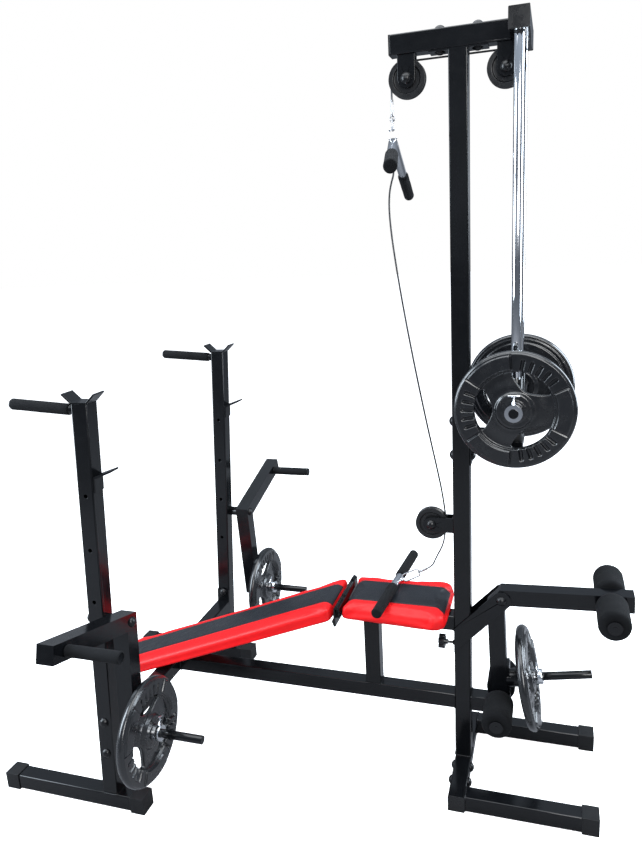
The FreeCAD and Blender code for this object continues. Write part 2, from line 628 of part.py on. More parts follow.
def fork(name, x, z, drop, turn):
    """A fork whose foot plate lies at its origin and whose ears reach down its turned Z to the axle."""
    ear_y = dim("pulley_width") / 2 + 3 + dim("plate_thickness") / 2
    pieces = [block(name + "_foot", "46", str(2 * EAR_OUTER), "4", x, 0, z, turn)]
    axle = Vector(x, 0, z) + turn.multVec(Vector(0, 0, drop))
    for side in (1, -1):
        pieces.append(block(name + "_ear", "46", "plate_thickness", str(drop), x, side * ear_y, z, turn))
        pieces.append(rod(name + "_ear_end", "46", "plate_thickness", axle.x,
                          side * ear_y - dim("plate_thickness") / 2, axle.z, ALONG_Y))
    return drilled(name, fuse(name + "_welded", *pieces))


DOWN = Rotation(X_AXIS, 180)
drop = dim("tower_top") - dim("pulley_level")
group("upper_pulley_brackets", fork("front_fork", dim("front_pulley_x"), dim("tower_top"), drop, DOWN),
      fork("rear_fork", dim("rear_pulley_x"), dim("tower_top"), drop, DOWN))
keep("low_pulley_bracket", fork("low_fork", -HALF_TUBE, dim("low_pulley_z"), -HALF_TUBE - dim("low_pulley_x"),
                                ALONG_MINUS_X))


def pulley(name, x, z):
    """A grooved wheel turned about the Y axis."""
    body = document.addObject("PartDesign::Body", name + "_body")
    sketch = new_sketch(body, "XZ_Plane")
    polygon(sketch, [
        ("bolt_size / 2 + 0.3", "0 - pulley_width / 2 - 2"), ("14", "0 - pulley_width / 2 - 2"),
        ("16", "0 - pulley_width / 2 + 4"), ("34", "0 - pulley_width / 2 + 4"),
                     ("37", "0 - pulley_width / 2"),
        ("pulley_size / 2", "0 - pulley_width / 2"), ("pulley_size / 2", "3 - pulley_width / 2"),
        ("groove_radius", "0 - cable_size / 2 - 0.4"), ("groove_radius", "cable_size / 2 + 0.4"),
        ("pulley_size / 2", "pulley_width / 2 - 3"), ("pulley_size / 2", "pulley_width / 2"),
        ("37", "pulley_width / 2"), ("34", "pulley_width / 2 - 4"), ("16", "pulley_width / 2 - 4"),
        ("14", "pulley_width / 2 + 2"), ("bolt_size / 2 + 0.3", "pulley_width / 2 + 2")])
    wheel = body.newObject("PartDesign::Revolution", name + "_wheel")
    wheel.Profile = sketch
    wheel.ReferenceAxis = (sketch, ["V_Axis"])
    wheel.Angle = 360
    place(body, x, 0, z, ALONG_Y)
    keep(name, body)


pulley("front_pulley", dim("front_pulley_x"), dim("pulley_level"))
pulley("rear_pulley", dim("rear_pulley_x"), dim("pulley_level"))
pulley("low_pulley", dim("low_pulley_x"), dim("low_pulley_z"))


# ---------------------------------------------------------------- weights

def weight_plate(name, centre, turn):
    """A rubber plate with a raised rim and hub and three hand windows; its axis is its turned Z."""
    body = document.addObject("PartDesign::Body", name)
    sketch = new_sketch(body, "XZ_Plane")
    rim, hub, half = "plate_size / 2", "hub_size / 2", "plate_width / 2"
    lower = [("plate_bore / 2", "0 - " + half), (hub, "0 - " + half), (hub + " + 5", "0 - web_width / 2"),
             ("window_outer + 2", "0 - web_width / 2"), ("window_outer + 8", "3 - " + half),
             (rim + " - 6", "0 - " + half), (rim, "7 - " + half)]
    upper = [(radius, "0 - ( " + level + " )") for radius, level in reversed(lower)]
    polygon(sketch, lower + upper)
    disc = body.newObject("PartDesign::Revolution", name + "_disc")
    disc.Profile = sketch
    disc.ReferenceAxis = (sketch, ["V_Axis"])
    disc.Angle = 360
    windows = []
    for index in range(3):
        start = Rotation(UP, 120 * index + 25 - dim("window_angle") / 2)
        outer = rod(name + "_window_outer", "2 * window_outer", "plate_width", 0, 0,
                    -dim("plate_width") / 2, start)
        inner = rod(name + "_window_inner", "2 * window_inner", "plate_width", 0, 0,
                    -dim("plate_width") / 2, start)
        bind(outer, Angle="window_angle")
        sector = cut(name + "_window", outer, inner)
        document.recompute()
        corners = document.addObject("Part::Fillet", name + "_window_rounded")
        corners.Base = sector
        corners.Edges = [(number, 9.0, 9.0) for number, edge in enumerate(sector.Shape.Edges, start=1)
                         if is_upright(edge)]
        windows.append(corners)
    opened = cut(name + "_opened", body, fuse(name + "_windows", *windows))
    opened.Placement = Placement(centre, turn)
    return opened


def collar(name, centre, turn, spin):
    """A ring collar on its turned Z, locked by a T screw that points along its turned X."""
    sweep = turn * Rotation(UP, spin)
    outward = sweep * ALONG_X
    middle = centre + sweep.multVec(Vector(0, 0, dim("collar_width") / 2))
    band = ring(name + "_band", "collar_size", "peg_size + 0.6", "collar_width", *centre, sweep)
    root = middle + outward.multVec(Vector(0, 0, dim("collar_size") / 2 - 3))
    boss = rod(name + "_boss", "12", "9", *root, outward)
    stem = rod(name + "_stem", "6", "24", *root, outward)
    head = root + outward.multVec(Vector(0, 0, 24)) - sweep.multVec(Vector(0, 15, 0))
    handle = rod(name + "_handle", "5", "30", *head, sweep * ALONG_Y)
    return fuse(name, band, boss, stem, handle)


def horn(name, root, turn, length, spacer, grooved=True):
    """A weight horn and the shoulder behind its plate; a fine groove marks where the collar ends."""
    bar = rod(name + "_bar", "peg_size", str(length), *root, turn)
    if grooved:
        collar_end = spacer + dim("plate_width") + dim("collar_width") + 2 * GAP + 0.4
        start = root + turn.multVec(Vector(0, 0, collar_end))
        bar = cut(name + "_grooved", bar, ring(name + "_groove", "peg_size + 2", "peg_size - 1", "1.5",
                                               *start, turn))
    shoulder = rod(name + "_shoulder", "56", str(spacer), *root, turn)
    return fuse(name, bar, shoulder)


# ---------------------------------------------------------------- carriage

CARRIAGE_Z = dim("carriage_level")
SLEEVE_FACE = dim("rod_half_gauge") + dim("sleeve_size") / 2
PLATE_FACE = SLEEVE_FACE + 16.7
carriage_bar = block("carriage_bar", "tube_size", "2 * rod_half_gauge", "tube_size", dim("rod_x"), 0,
                     CARRIAGE_Z - HALF_TUBE)
cable_x = dim("rear_pulley_x") + dim("groove_radius") + dim("cable_size") / 2 + GAP
anchor = rod("cable_anchor", "14", "34", cable_x, 0, CARRIAGE_Z + HALF_TUBE)
sleeves, horns, rod_bores = [], [], []
for _, side in SIDES:
    y = side * dim("rod_half_gauge")
    sleeves.append(rod("sleeve", "sleeve_size", "sleeve_length", dim("rod_x"), y,
                       CARRIAGE_Z - dim("sleeve_length") / 2))
    rod_bores.append(rod("rod_bore", "rod_size + 0.6", "sleeve_length + 4", dim("rod_x"), y,
                         CARRIAGE_Z - dim("sleeve_length") / 2 - 2))
    horns.append(horn("carriage_horn", Vector(dim("rod_x"), side * (SLEEVE_FACE - 4), CARRIAGE_Z),
                      ALONG_Y if side > 0 else ALONG_MINUS_Y, 84, 20, grooved=False))
carriage_welded = fuse("carriage_welded", carriage_bar, anchor, *sleeves, *horns)
keep("carriage_frame", cut("carriage_bored", carriage_welded, fuse("rod_bores", *rod_bores)))

plates, collars = [], []
for side_name, side in SIDES:
    turn = ALONG_Y if side > 0 else ALONG_MINUS_Y
    centre = Vector(dim("rod_x"), side * (PLATE_FACE + dim("plate_width") / 2), CARRIAGE_Z)
    plates.append(weight_plate("carriage_plate_" + side_name, centre,
                               turn * Rotation(UP, 30 if side > 0 else 35)))
    outside = Vector(dim("rod_x"), side * (PLATE_FACE + dim("plate_width") + GAP), CARRIAGE_Z)
    collars.append(collar("carriage_collar_" + side_name, outside, turn, -90 * side))
group("carriage_plates", *plates)
group("carriage_collars", *collars)


# ---------------------------------------------------------------- fly arms

FLY_PIVOT = Vector(dim("fly_arm_x"), dim("fly_pivot_y"), dim("fly_pivot_z"))
UPPER_TURN = Rotation(X_AXIS, dim("fly_upper_angle") - 90)
LOWER_TURN = Rotation(X_AXIS, dim("fly_lower_angle") - 180)
MITRE = 1 / math.tan(math.radians(90 + dim("fly_upper_angle") - dim("fly_lower_angle")) / 2)


def bent_arm(name, size, half, shorten):
    """Two square bars that meet in a mitre at the pivot."""
    back = half * MITRE
    pieces = []
    for label, turn, length in (("upper", UPPER_TURN, dim("fly_reach")),
                                ("lower", LOWER_TURN, dim("fly_drop") + HALF_TUBE)):
        start = FLY_PIVOT - turn.multVec(Vector(0, 0, back))
        pieces.append(block(name + "_" + label, size, size, str(length + back - shorten), *start, turn))
    return fuse(name, *pieces)


fly_outer = bent_arm("fly_outer", "tube_size", HALF_TUBE, 0)
fly_inner = bent_arm("fly_inner", "tube_size - 2 * tube_wall", HALF_TUBE - dim("tube_wall"), dim("tube_wall"))
fly_shell = cut("fly_shell", fly_outer, fly_inner)
boss_start = rack_x(dim("fly_pivot_z")) + HALF_TUBE + 1.8
fly_boss = rod("fly_boss", "34", str(dim("fly_arm_x") - HALF_TUBE - boss_start), boss_start, FLY_PIVOT.y,
               FLY_PIVOT.z, ALONG_X)
handle_root = FLY_PIVOT + UPPER_TURN.multVec(Vector(0, 0, dim("fly_reach") - 52)) + Vector(HALF_TUBE, 0, 0)
fly_handle = rod("fly_handle", "bar_size", "fly_grip_length", *handle_root, ALONG_X)
horn_root = FLY_PIVOT + LOWER_TURN.multVec(Vector(0, 0, dim("fly_drop"))) + Vector(HALF_TUBE, 0, 0)
fly_horn = horn("fly_horn", horn_root, ALONG_X, dim("fly_peg_length"), 12)
fly_bore = rod("fly_bore", "bolt_size + 0.6", "120", boss_start - 10, FLY_PIVOT.y, FLY_PIVOT.z, ALONG_X)
fly_arm = cut("fly_arm_bored", fuse("fly_welded", fly_shell, fly_boss, fly_handle, fly_horn), fly_bore)
both_sides("fly_arm", fly_arm)
both_sides("fly_grip", ring("fly_grip", "grip_size", "bar_size + 2 * grip_gap", "fly_grip_length",
                            *(handle_root + Vector(1.5, 0, 0)), ALONG_X))
fly_plate_centre = horn_root + Vector(12 + GAP + dim("plate_width") / 2, 0, 0)
both_sides("fly_plate", weight_plate("fly_plate", fly_plate_centre, ALONG_X * Rotation(UP, 40)))
both_sides("fly_collar", collar("fly_collar", fly_plate_centre + Vector(dim("plate_width") / 2 + GAP, 0, 0),
                                ALONG_X, 205))

# ---------------------------------------------------------------- leg developer

LEG_TURN = Rotation(Y_AXIS, -dim("leg_tilt"))
LEG = Placement(LEG_PIVOT, LEG_TURN)


def on_leg(x, y, z):
    return LEG.multVec(Vector(x, y, z))


bracket_start = Vector(-20, 0, 470)
bracket_reach = LEG_PIVOT - bracket_start
bracket_turn = Rotation(UP, bracket_reach)
bracket_y = HALF_TUBE + dim("plate_thickness") / 2
bracket_plate = block("leg_bracket_band", "56", "plate_thickness", str(bracket_reach.Length + 40),
                      *(bracket_start + Vector(0, bracket_y,
                                               0) - bracket_reach * (40 / bracket_reach.Length)),
                      bracket_turn)
bracket_end = rod("leg_bracket_end", "56", "plate_thickness", LEG_PIVOT.x, HALF_TUBE, LEG_PIVOT.z, ALONG_Y)
behind_post = block("behind_post", "100", "100", "400", -HALF_TUBE - 50, HALF_TUBE, 300)
leg_bracket = cut("leg_bracket_cut", fuse("leg_bracket_blank", bracket_plate, bracket_end), behind_post)
pair("leg_arm_brackets", drilled("leg_bracket", leg_bracket))

lever = document.addObject("PartDesign::Body", "lever")
outer_sketch = new_sketch(lever, "XZ_Plane")
polygon(outer_sketch, [
    ("7 - tube_size", "0 - leg_drop"), ("7", "0 - leg_drop"), ("7", "0 - 25"), ("15", "33 - tube_size"),
    ("leg_reach", "33 - tube_size"), ("leg_reach", "33"), ("0 - 3", "33"), ("7 - tube_size", "0 - 7")])
pad(lever, outer_sketch, "tube_size - 0.8", midplane=True)
inner_sketch = new_sketch(lever, "XZ_Plane")
polygon(inner_sketch, [
    ("7 - tube_size + tube_wall", "tube_wall - leg_drop"), ("7 - tube_wall", "tube_wall - leg_drop"),
    ("7 - tube_wall", "0 - 24"), ("14", "33 - tube_size + tube_wall"),
    ("leg_reach - tube_wall", "33 - tube_size + tube_wall"), ("leg_reach - tube_wall", "33 - tube_wall"),
    ("0 - 2", "33 - tube_wall"), ("7 - tube_size + tube_wall", "0 - 8")])
hollow = lever.newObject("PartDesign::Pocket", "lever_hollow")
hollow.Profile = inner_sketch
hollow.Midplane = True
bind(hollow, Length="tube_size - 0.8 - 2 * tube_wall")
lever.Placement = LEG

HORN_TURN = LEG_TURN * Rotation(Y_AXIS, 90 - dim("leg_peg_tilt"))
leg_horn_root = on_leg(7, 0, -dim("leg_peg_drop"))
LEG_SPACER = 45.7
leg_horn = horn("leg_horn", leg_horn_root, HORN_TURN, dim("leg_peg_length"), LEG_SPACER)
horn_flange = block("horn_flange", "8", "tube_size - 4", "110", *on_leg(11, 0, -dim("leg_peg_drop") - 55),
                    LEG_TURN)
roller_spots = [on_leg(dim("upper_roller_reach"), 0, 8), on_leg(-18, 0, -dim("lower_roller_drop"))]
axles = []
half = dim("roller_start") + dim("roller_length") + 8
for spot in roller_spots:
    axles.append(rod("roller_axle", "roller_axle", str(2 * half), spot.x, -half, spot.z, ALONG_Y))
    for y in (-half + 1, half - 6):
        axles.append(rod("axle_washer", "40", "5", spot.x, y, spot.z, ALONG_Y))
leg_bore = rod("leg_bore", "bolt_size + 0.6", "80", LEG_PIVOT.x, -40, LEG_PIVOT.z, ALONG_Y)
keep("leg_arm", cut("leg_arm_bored", fuse("leg_welded", lever, leg_horn, horn_flange, *axles), leg_bore))

ALONG_HORN = HORN_TURN.multVec(Vector(0, 0, 1))
leg_plate_centre = leg_horn_root + ALONG_HORN * (LEG_SPACER + GAP + dim("plate_width") / 2)
keep("leg_plate", weight_plate("leg_plate_body", leg_plate_centre, HORN_TURN))
keep("leg_collar", collar("leg_collar_body", leg_plate_centre + ALONG_HORN * (dim("plate_width") / 2 + GAP),
                          HORN_TURN, 195))
for name, spot in zip(("upper_foot_rollers", "lower_foot_rollers"), roller_spots):
    pair(name, ring(name + "_foam", "roller_size", "roller_axle + 0.6", "roller_length", spot.x,
                    dim("roller_start"), spot.z, ALONG_Y))

# ---------------------------------------------------------------- lock knob

screw = rod("knob_screw", "screw_size", "50", -20, 0, dim("knob_level"), ALONG_MINUS_X)
lobes = [rod("knob_lobe", "knob_size * 0.36", "knob_width", -20 - 36,
             0.32 * dim("knob_size") * math.cos(math.radians(72 * index)),
             dim("knob_level") + 0.32 * dim("knob_size") * math.sin(math.radians(72 * index)), ALONG_MINUS_X)
         for index in range(5)]
knob_core = rod("knob_core", "knob_size * 0.7", "knob_width", -20 - 36, 0, dim("knob_level"), ALONG_MINUS_X)
knob_neck = rod("knob_neck", "16", "10", -20 - 28, 0, dim("knob_level"), ALONG_MINUS_X)
keep("lock_knob", fuse("knob", screw, knob_core, knob_neck, *lobes))


# ---------------------------------------------------------------- lat bar and row bar

def loop(name, start, end, width, wire, sideways):
    """A closed oval link of wire between two points, its flat spread sideways."""
    along = (end - start).normalize()
    across = (sideways - along * sideways.dot(along)).normalize() * (width / 2)
    first, last = start + along * (width / 2), end - along * (width / 2)
    edges = [Part.LineSegment(first + across, last + across).toShape(),
             Part.Arc(last + across, end, last - across).toShape(),
             Part.LineSegment(last - across, first - across).toShape(),
             Part.Arc(first - across, start, first + across).toShape()]
    return swept(name, Part.Wire(edges), str(wire))


def eye(name, centre, axis, radius, wire):
    """A ring of wire about an axis."""
    item = document.addObject("Part::Torus", name)
    item.Radius1 = radius
    item.Radius2 = wire / 2
    return place(item, *centre, Rotation(UP, axis))


EYE_RADIUS, EYE_WIRE = 8.0, 5.0
HOOK_WIRE = 4.4
LINK_GAP = 0.4
THIMBLE_RADIUS, THIMBLE_WIRE = 6.5, 3.2
FERRULE_SIZE = 8.0


FRONT_CABLE_X = dim("front_pulley_x") - dim("groove_radius") - dim("cable_size") / 2 - GAP
LAT = Vector(FRONT_CABLE_X, 0, dim("lat_bar_level"))
lat_hang = Rotation(UP, dim("lat_yaw")) * Rotation(Y_AXIS, -dim("lat_lean")) * Rotation(X_AXIS,
                                                                                        -dim("lat_tip"))
lat_droop = math.tan(math.radians(dim("lat_droop")))
half_width = dim("lat_half_width")
ends = [LAT + lat_hang.multVec(Vector(0, side * half_width, -half_width * lat_droop)) for side in (1, -1)]
bar_wire = route_wire([ends[0], LAT, ends[1]], [60.0])
lat_bar_body = swept("lat_bar_body", bar_wire, "bar_size")
lat_top = Vector(LAT.x, 0, bar_wire.BoundBox.ZMax + dim("bar_size") / 2)
lat_low = Vector(LAT.x, 0, bar_wire.BoundBox.ZMax - dim("bar_size") / 2)
LAT_RING_RISE = 24.0
lat_ring = loop("lat_ring", lat_top - UP * 6, lat_top + UP * LAT_RING_RISE, 22, 4.5, X_AXIS)
LOW_EYE = lat_low - UP * (EYE_RADIUS - 1)
keep("lat_bar", fuse("lat_bar_welded", lat_bar_body, lat_ring,
                     eye("lat_eye", LOW_EYE, Y_AXIS, EYE_RADIUS, EYE_WIRE)))


def grip_on(name, end, inward, length):
    """A foam grip over a bar's end, closed by its own end wall."""
    turn = Rotation(UP, inward)
    start = end - inward * 3
    sleeve = rod(name + "_sleeve", "grip_size", str(length), *start, turn)
    bore = rod(name + "_bore", "bar_size + 2 * grip_gap", str(length), *(end - inward * GAP), turn)
    return cut(name, sleeve, bore)


group("lat_bar_grips", *[grip_on("lat_grip", end, (LAT - end).normalize(),
                                 dim("handle_grip_length")) for end in ends])

HOOK_LOW = lat_top + UP * (LAT_RING_RISE - (4.5 + HOOK_WIRE) / 2 - LINK_GAP)
HOOK_TOP = HOOK_LOW + UP * 30
lat_hook = loop("lat_hook", HOOK_LOW, HOOK_TOP, 17, HOOK_WIRE, Y_AXIS)
LAT_FERRULE_START = HOOK_TOP + UP * (THIMBLE_RADIUS - 1)
FRONT_END = LAT_FERRULE_START + UP * 42
lat_thimble = eye("lat_thimble", HOOK_TOP, Y_AXIS, THIMBLE_RADIUS, THIMBLE_WIRE)
lat_ferrule = rod("lat_ferrule", str(FERRULE_SIZE), "42", *LAT_FERRULE_START)

# The thimble of the low cable passes through the lower eye and hangs from it.
LOW_THIMBLE = LOW_EYE - UP * (EYE_RADIUS - (EYE_WIRE + THIMBLE_WIRE) / 2 - LINK_GAP + THIMBLE_RADIUS)
LOW_START = LOW_THIMBLE - UP * (THIMBLE_RADIUS + 25)
low_thimble = eye("low_thimble", LOW_THIMBLE, X_AXIS, THIMBLE_RADIUS, THIMBLE_WIRE)
low_ferrule = rod("low_ferrule", str(FERRULE_SIZE), "26", *LOW_START)
group("lat_clip", lat_hook, fuse("lat_cable_end", lat_thimble, lat_ferrule),
      fuse("low_cable_end", low_thimble, low_ferrule))

ROW_TURN = Rotation(UP, -dim("row_bar_turn"))
row_z = SEAT_BASE + dim("pad_thickness") + dim("grip_size") / 2 + GAP
ROW = Vector(dim("row_bar_x"), dim("row_bar_y"), row_z)
row_along = ROW_TURN.multVec(Vector(0, 1, 0))
row_half = dim("row_bar_length") / 2 - 3
row_ends = [ROW + row_along * row_half, ROW - row_along * row_half]
row_rod = rod("row_rod", "bar_size", str(2 * row_half), *row_ends[1], Rotation(UP, row_along))
CLIP_END = Vector(-142, 47, 652)
row_pull = (CLIP_END - ROW).normalize()
row_across = row_along.cross(row_pull)
ROW_EYE = ROW + row_pull * (dim("bar_size") / 2 + EYE_RADIUS - 1)
row_eye = eye("row_eye", ROW_EYE, row_across, EYE_RADIUS, EYE_WIRE)
keep("row_bar", fuse("row_bar_welded", row_rod, row_eye))
group("row_bar_grips", *[grip_on("row_grip", end, (ROW - end).normalize(),
                                 dim("handle_grip_length")) for end in row_ends])

row_hook_start = ROW_EYE + row_pull * (EYE_RADIUS - (EYE_WIRE + HOOK_WIRE) / 2 - LINK_GAP)
row_hook = loop("row_hook", row_hook_start, CLIP_END, 24, HOOK_WIRE, row_across)
row_thimble = eye("row_thimble", CLIP_END, row_across, THIMBLE_RADIUS, THIMBLE_WIRE)
row_ferrule_start = CLIP_END + row_pull * (THIMBLE_RADIUS - 1)
ROW_FERRULE_END = row_ferrule_start + row_pull * 20
row_ferrule = rod("row_ferrule", str(FERRULE_SIZE), "20", *row_ferrule_start, Rotation(UP, row_pull))
group("row_clip", row_hook, fuse("row_cable_end", row_thimble, row_ferrule))

# ---------------------------------------------------------------- cables

pitch_radius = dim("groove_radius") + dim("cable_size") / 2 + GAP
front = Vector(dim("front_pulley_x"), 0, dim("pulley_level"))
rear = Vector(dim("rear_pulley_x"), 0, dim("pulley_level"))


def quarter(centre, start_angle):
    """A quarter turn of cable over a pulley, clockwise from the start angle."""
    spots = [centre + Vector(pitch_radius * math.cos(math.radians(angle)), 0,
                             pitch_radius * math.sin(math.radians(angle)))
             for angle in (start_angle, start_angle - 45, start_angle - 90)]
    return Part.Arc(*spots).toShape()


over_wire = Part.Wire([quarter(front, 180), Part.LineSegment(front + Vector(0, 0, pitch_radius),
                       rear + Vector(0, 0, pitch_radius)).toShape(), quarter(rear, 90)])
keep("main_cable_top", swept("over_cable", over_wire, "cable_size"))
keep("main_cable_front", rod("front_cable", "cable_size", str(dim("pulley_level") - FRONT_END.z), *FRONT_END))
anchor_top = CARRIAGE_Z + HALF_TUBE + 34
keep("main_cable_rear", rod("rear_cable", "cable_size", str(dim("pulley_level") - anchor_top), cable_x, 0,
                            anchor_top))

# The slack cable hangs from the lat bar in a shallow bow and passes the low pulley to the row bar.
low_pulley_centre = Vector(dim("low_pulley_x"), 0, dim("low_pulley_z"))


def on_low_pulley(angle):
    radians = math.radians(angle)
    return low_pulley_centre + Vector(pitch_radius * math.cos(radians), 0, pitch_radius * math.sin(radians))


BOW = [(-186, 1836), (-193, 1806), (-195, 1760), (-190, 1693), (-181.5, 1625), (-172, 1557), (-161.5, 1489),
       (-150.3, 1421),
       (-138.6, 1353), (-126.4, 1285), (-113.7, 1217), (-100.6, 1149), (-87, 1081), (-73, 1013), (-61.5, 953),
       (-54.2, 905)]
MEET_ANGLE, LEAVE_ANGLE = 6.0, -10.0
bow_points = [LOW_START, LOW_START - UP * 18] + [Vector(x, 0, z) for x,
                                                 z in BOW] + [on_low_pulley(MEET_ANGLE)]
bow_radii = natural_radii(bow_points)
bow_wire = route_wire(bow_points, bow_radii)
wrap = Part.Arc(on_low_pulley(MEET_ANGLE), on_low_pulley((MEET_ANGLE + LEAVE_ANGLE) / 2),
                on_low_pulley(LEAVE_ANGLE))
bow_edges = bow_wire.Edges + [wrap.toShape()]
keep("low_cable_upper", swept("slack_cable", Part.Wire(bow_edges), "cable_size"))

TAIL = [(-52.4, 0, 810.8), (-57.5, 8, 779), (-67.3, 18, 751.3), (-79, 29, 727), (-90, 40, 702)]
tail_points = [on_low_pulley(LEAVE_ANGLE)] + [Vector(*spot) for spot in TAIL]
tail_points += [ROW_FERRULE_END + row_pull * 20, ROW_FERRULE_END]
tail_radii = natural_radii(tail_points)
keep("low_cable_lower", swept("tail_cable", route_wire(tail_points, tail_radii), "cable_size"))

# ---------------------------------------------------------------- check and write

document.recompute()
faults = [item.Name for item in document.Objects if {"Invalid", "Error"} & set(item.State)]
faults += [name for name, item in sub_parts.items() if item.Shape.isNull() or not item.Shape.isValid()]
if faults:
    raise RuntimeError("failed objects: " + ", ".join(faults))

section = math.pi * (dim("cable_size") / 2) ** 2
for name, wire in (("low_cable_upper", Part.Wire(bow_edges)),
                   ("low_cable_lower", route_wire(tail_points, tail_radii))):
    print(name, "length %.1f" % wire.Length,
          "volume ratio %.4f" % (sub_parts[name].Shape.Volume / (section * wire.Length)))
print("bend radii", [round(radius) for radius in bow_radii + tail_radii])

os.makedirs("parts", exist_ok=True)
for name, item in sub_parts.items():
    item.Shape.exportStep(os.path.join("parts", name + ".step"))
print(len(sub_parts), "sub-parts")
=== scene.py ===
import json
import math
import bmesh
import bpy
import numpy as np
from mathutils import Matrix, Vector, noise


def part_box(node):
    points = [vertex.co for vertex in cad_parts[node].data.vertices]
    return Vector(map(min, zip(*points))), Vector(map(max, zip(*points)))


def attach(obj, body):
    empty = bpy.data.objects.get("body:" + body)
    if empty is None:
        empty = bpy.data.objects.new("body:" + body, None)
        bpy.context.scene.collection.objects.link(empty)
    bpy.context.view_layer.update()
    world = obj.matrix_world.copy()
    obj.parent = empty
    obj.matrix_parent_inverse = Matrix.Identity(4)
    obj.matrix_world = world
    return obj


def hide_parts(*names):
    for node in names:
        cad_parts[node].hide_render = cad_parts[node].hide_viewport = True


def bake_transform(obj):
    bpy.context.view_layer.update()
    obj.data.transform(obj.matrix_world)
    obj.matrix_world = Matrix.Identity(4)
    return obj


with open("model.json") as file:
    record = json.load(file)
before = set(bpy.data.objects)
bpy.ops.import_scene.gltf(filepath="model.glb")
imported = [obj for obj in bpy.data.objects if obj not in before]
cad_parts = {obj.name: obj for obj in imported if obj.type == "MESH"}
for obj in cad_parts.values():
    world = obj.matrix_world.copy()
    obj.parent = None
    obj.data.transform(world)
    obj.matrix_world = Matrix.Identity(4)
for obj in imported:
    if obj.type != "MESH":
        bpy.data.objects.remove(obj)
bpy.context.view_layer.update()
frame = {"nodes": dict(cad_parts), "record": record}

NODES = frame["nodes"]
SCENE = bpy.context.scene


# ---------------------------------------------------------------- camera, floor and light

CAMERA_SPOT = (0.250, -2.069, 1.696)
CAMERA_TURNS = (18.15, 14.09, -3.21)
CAMERA_LENS = 31.11
MIDDLE = (-0.3, 0, 1.0)
COOL = (0.80, 0.90, 1.0)
SKY = ((0.53, (0.42, 0.46, 0.52, 1)), (0.60, (0.16, 0.18, 0.21, 1)), (0.76, (0.34, 0.39, 0.46, 1)))
FLOOR_HALF = 30


def add_camera():
    """The camera stands at the right front of the gym, looking slightly down and to the left."""
    yaw, pitch, roll = [math.radians(angle) for angle in CAMERA_TURNS]
    forward = Vector((-math.sin(yaw) * math.cos(pitch), math.cos(yaw) * math.cos(pitch), -math.sin(pitch)))
    level = Vector((math.cos(yaw), math.sin(yaw), 0))
    upright = level.cross(forward)
    right = level * math.cos(roll) + upright * math.sin(roll)
    top = upright * math.cos(roll) - level * math.sin(roll)
    data = bpy.data.cameras.new("camera")
    data.lens, data.sensor_width = CAMERA_LENS, 36
    camera = bpy.data.objects.new("camera", data)
    turn = Matrix((right, top, -forward)).transposed().to_4x4()
    camera.matrix_world = Matrix.Translation(CAMERA_SPOT) @ turn
    SCENE.collection.objects.link(camera)
    SCENE.camera = camera


def add_light(name, spot, target, size, energy, colour=(1, 1, 1)):
    data = bpy.data.lights.new(name, "AREA")
    data.shape = "RECTANGLE"
    data.size, data.size_y = size
    data.energy = energy
    data.color = colour
    light = bpy.data.objects.new(name, data)
    light.location = spot
    light.rotation_euler = (Vector(target) - Vector(spot)).to_track_quat("-Z", "Y").to_euler()
    SCENE.collection.objects.link(light)


def add_world():
    """White behind the object; light and reflections see a cool room, dim below and bright above."""
    world = bpy.data.worlds.new("studio")
    world.use_nodes = True
    nodes, links = world.node_tree.nodes, world.node_tree.links
    backdrop = nodes["Background"]
    backdrop.inputs["Color"].default_value = (1, 1, 1, 1)
    backdrop.inputs["Strength"].default_value = 1.0
    split = nodes.new("ShaderNodeSeparateXYZ")
    links.new(nodes.new("ShaderNodeTexCoord").outputs["Generated"], split.inputs["Vector"])
    height = nodes.new("ShaderNodeMapRange")
    height.inputs["From Min"].default_value = -1.0
    links.new(split.outputs["Z"], height.inputs["Value"])
    ramp = nodes.new("ShaderNodeValToRGB")
    elements = ramp.color_ramp.elements
    elements[0].position, elements[0].color = 0.45, (0.05, 0.05, 0.055, 1)
    elements[1].position, elements[1].color = 1.0, (0.80, 0.90, 1.0, 1)
    for position, colour in SKY:
        elements.new(position).color = colour
    links.new(height.outputs["Result"], ramp.inputs["Fac"])
    room = nodes.new("ShaderNodeBackground")
    links.new(ramp.outputs["Color"], room.inputs["Color"])
    mix = nodes.new("ShaderNodeMixShader")
    links.new(nodes.new("ShaderNodeLightPath").outputs["Is Camera Ray"], mix.inputs[0])
    links.new(room.outputs["Background"], mix.inputs[1])
    links.new(backdrop.outputs["Background"], mix.inputs[2])
    links.new(mix.outputs["Shader"], nodes["World Output"].inputs["Surface"])
    SCENE.world = world


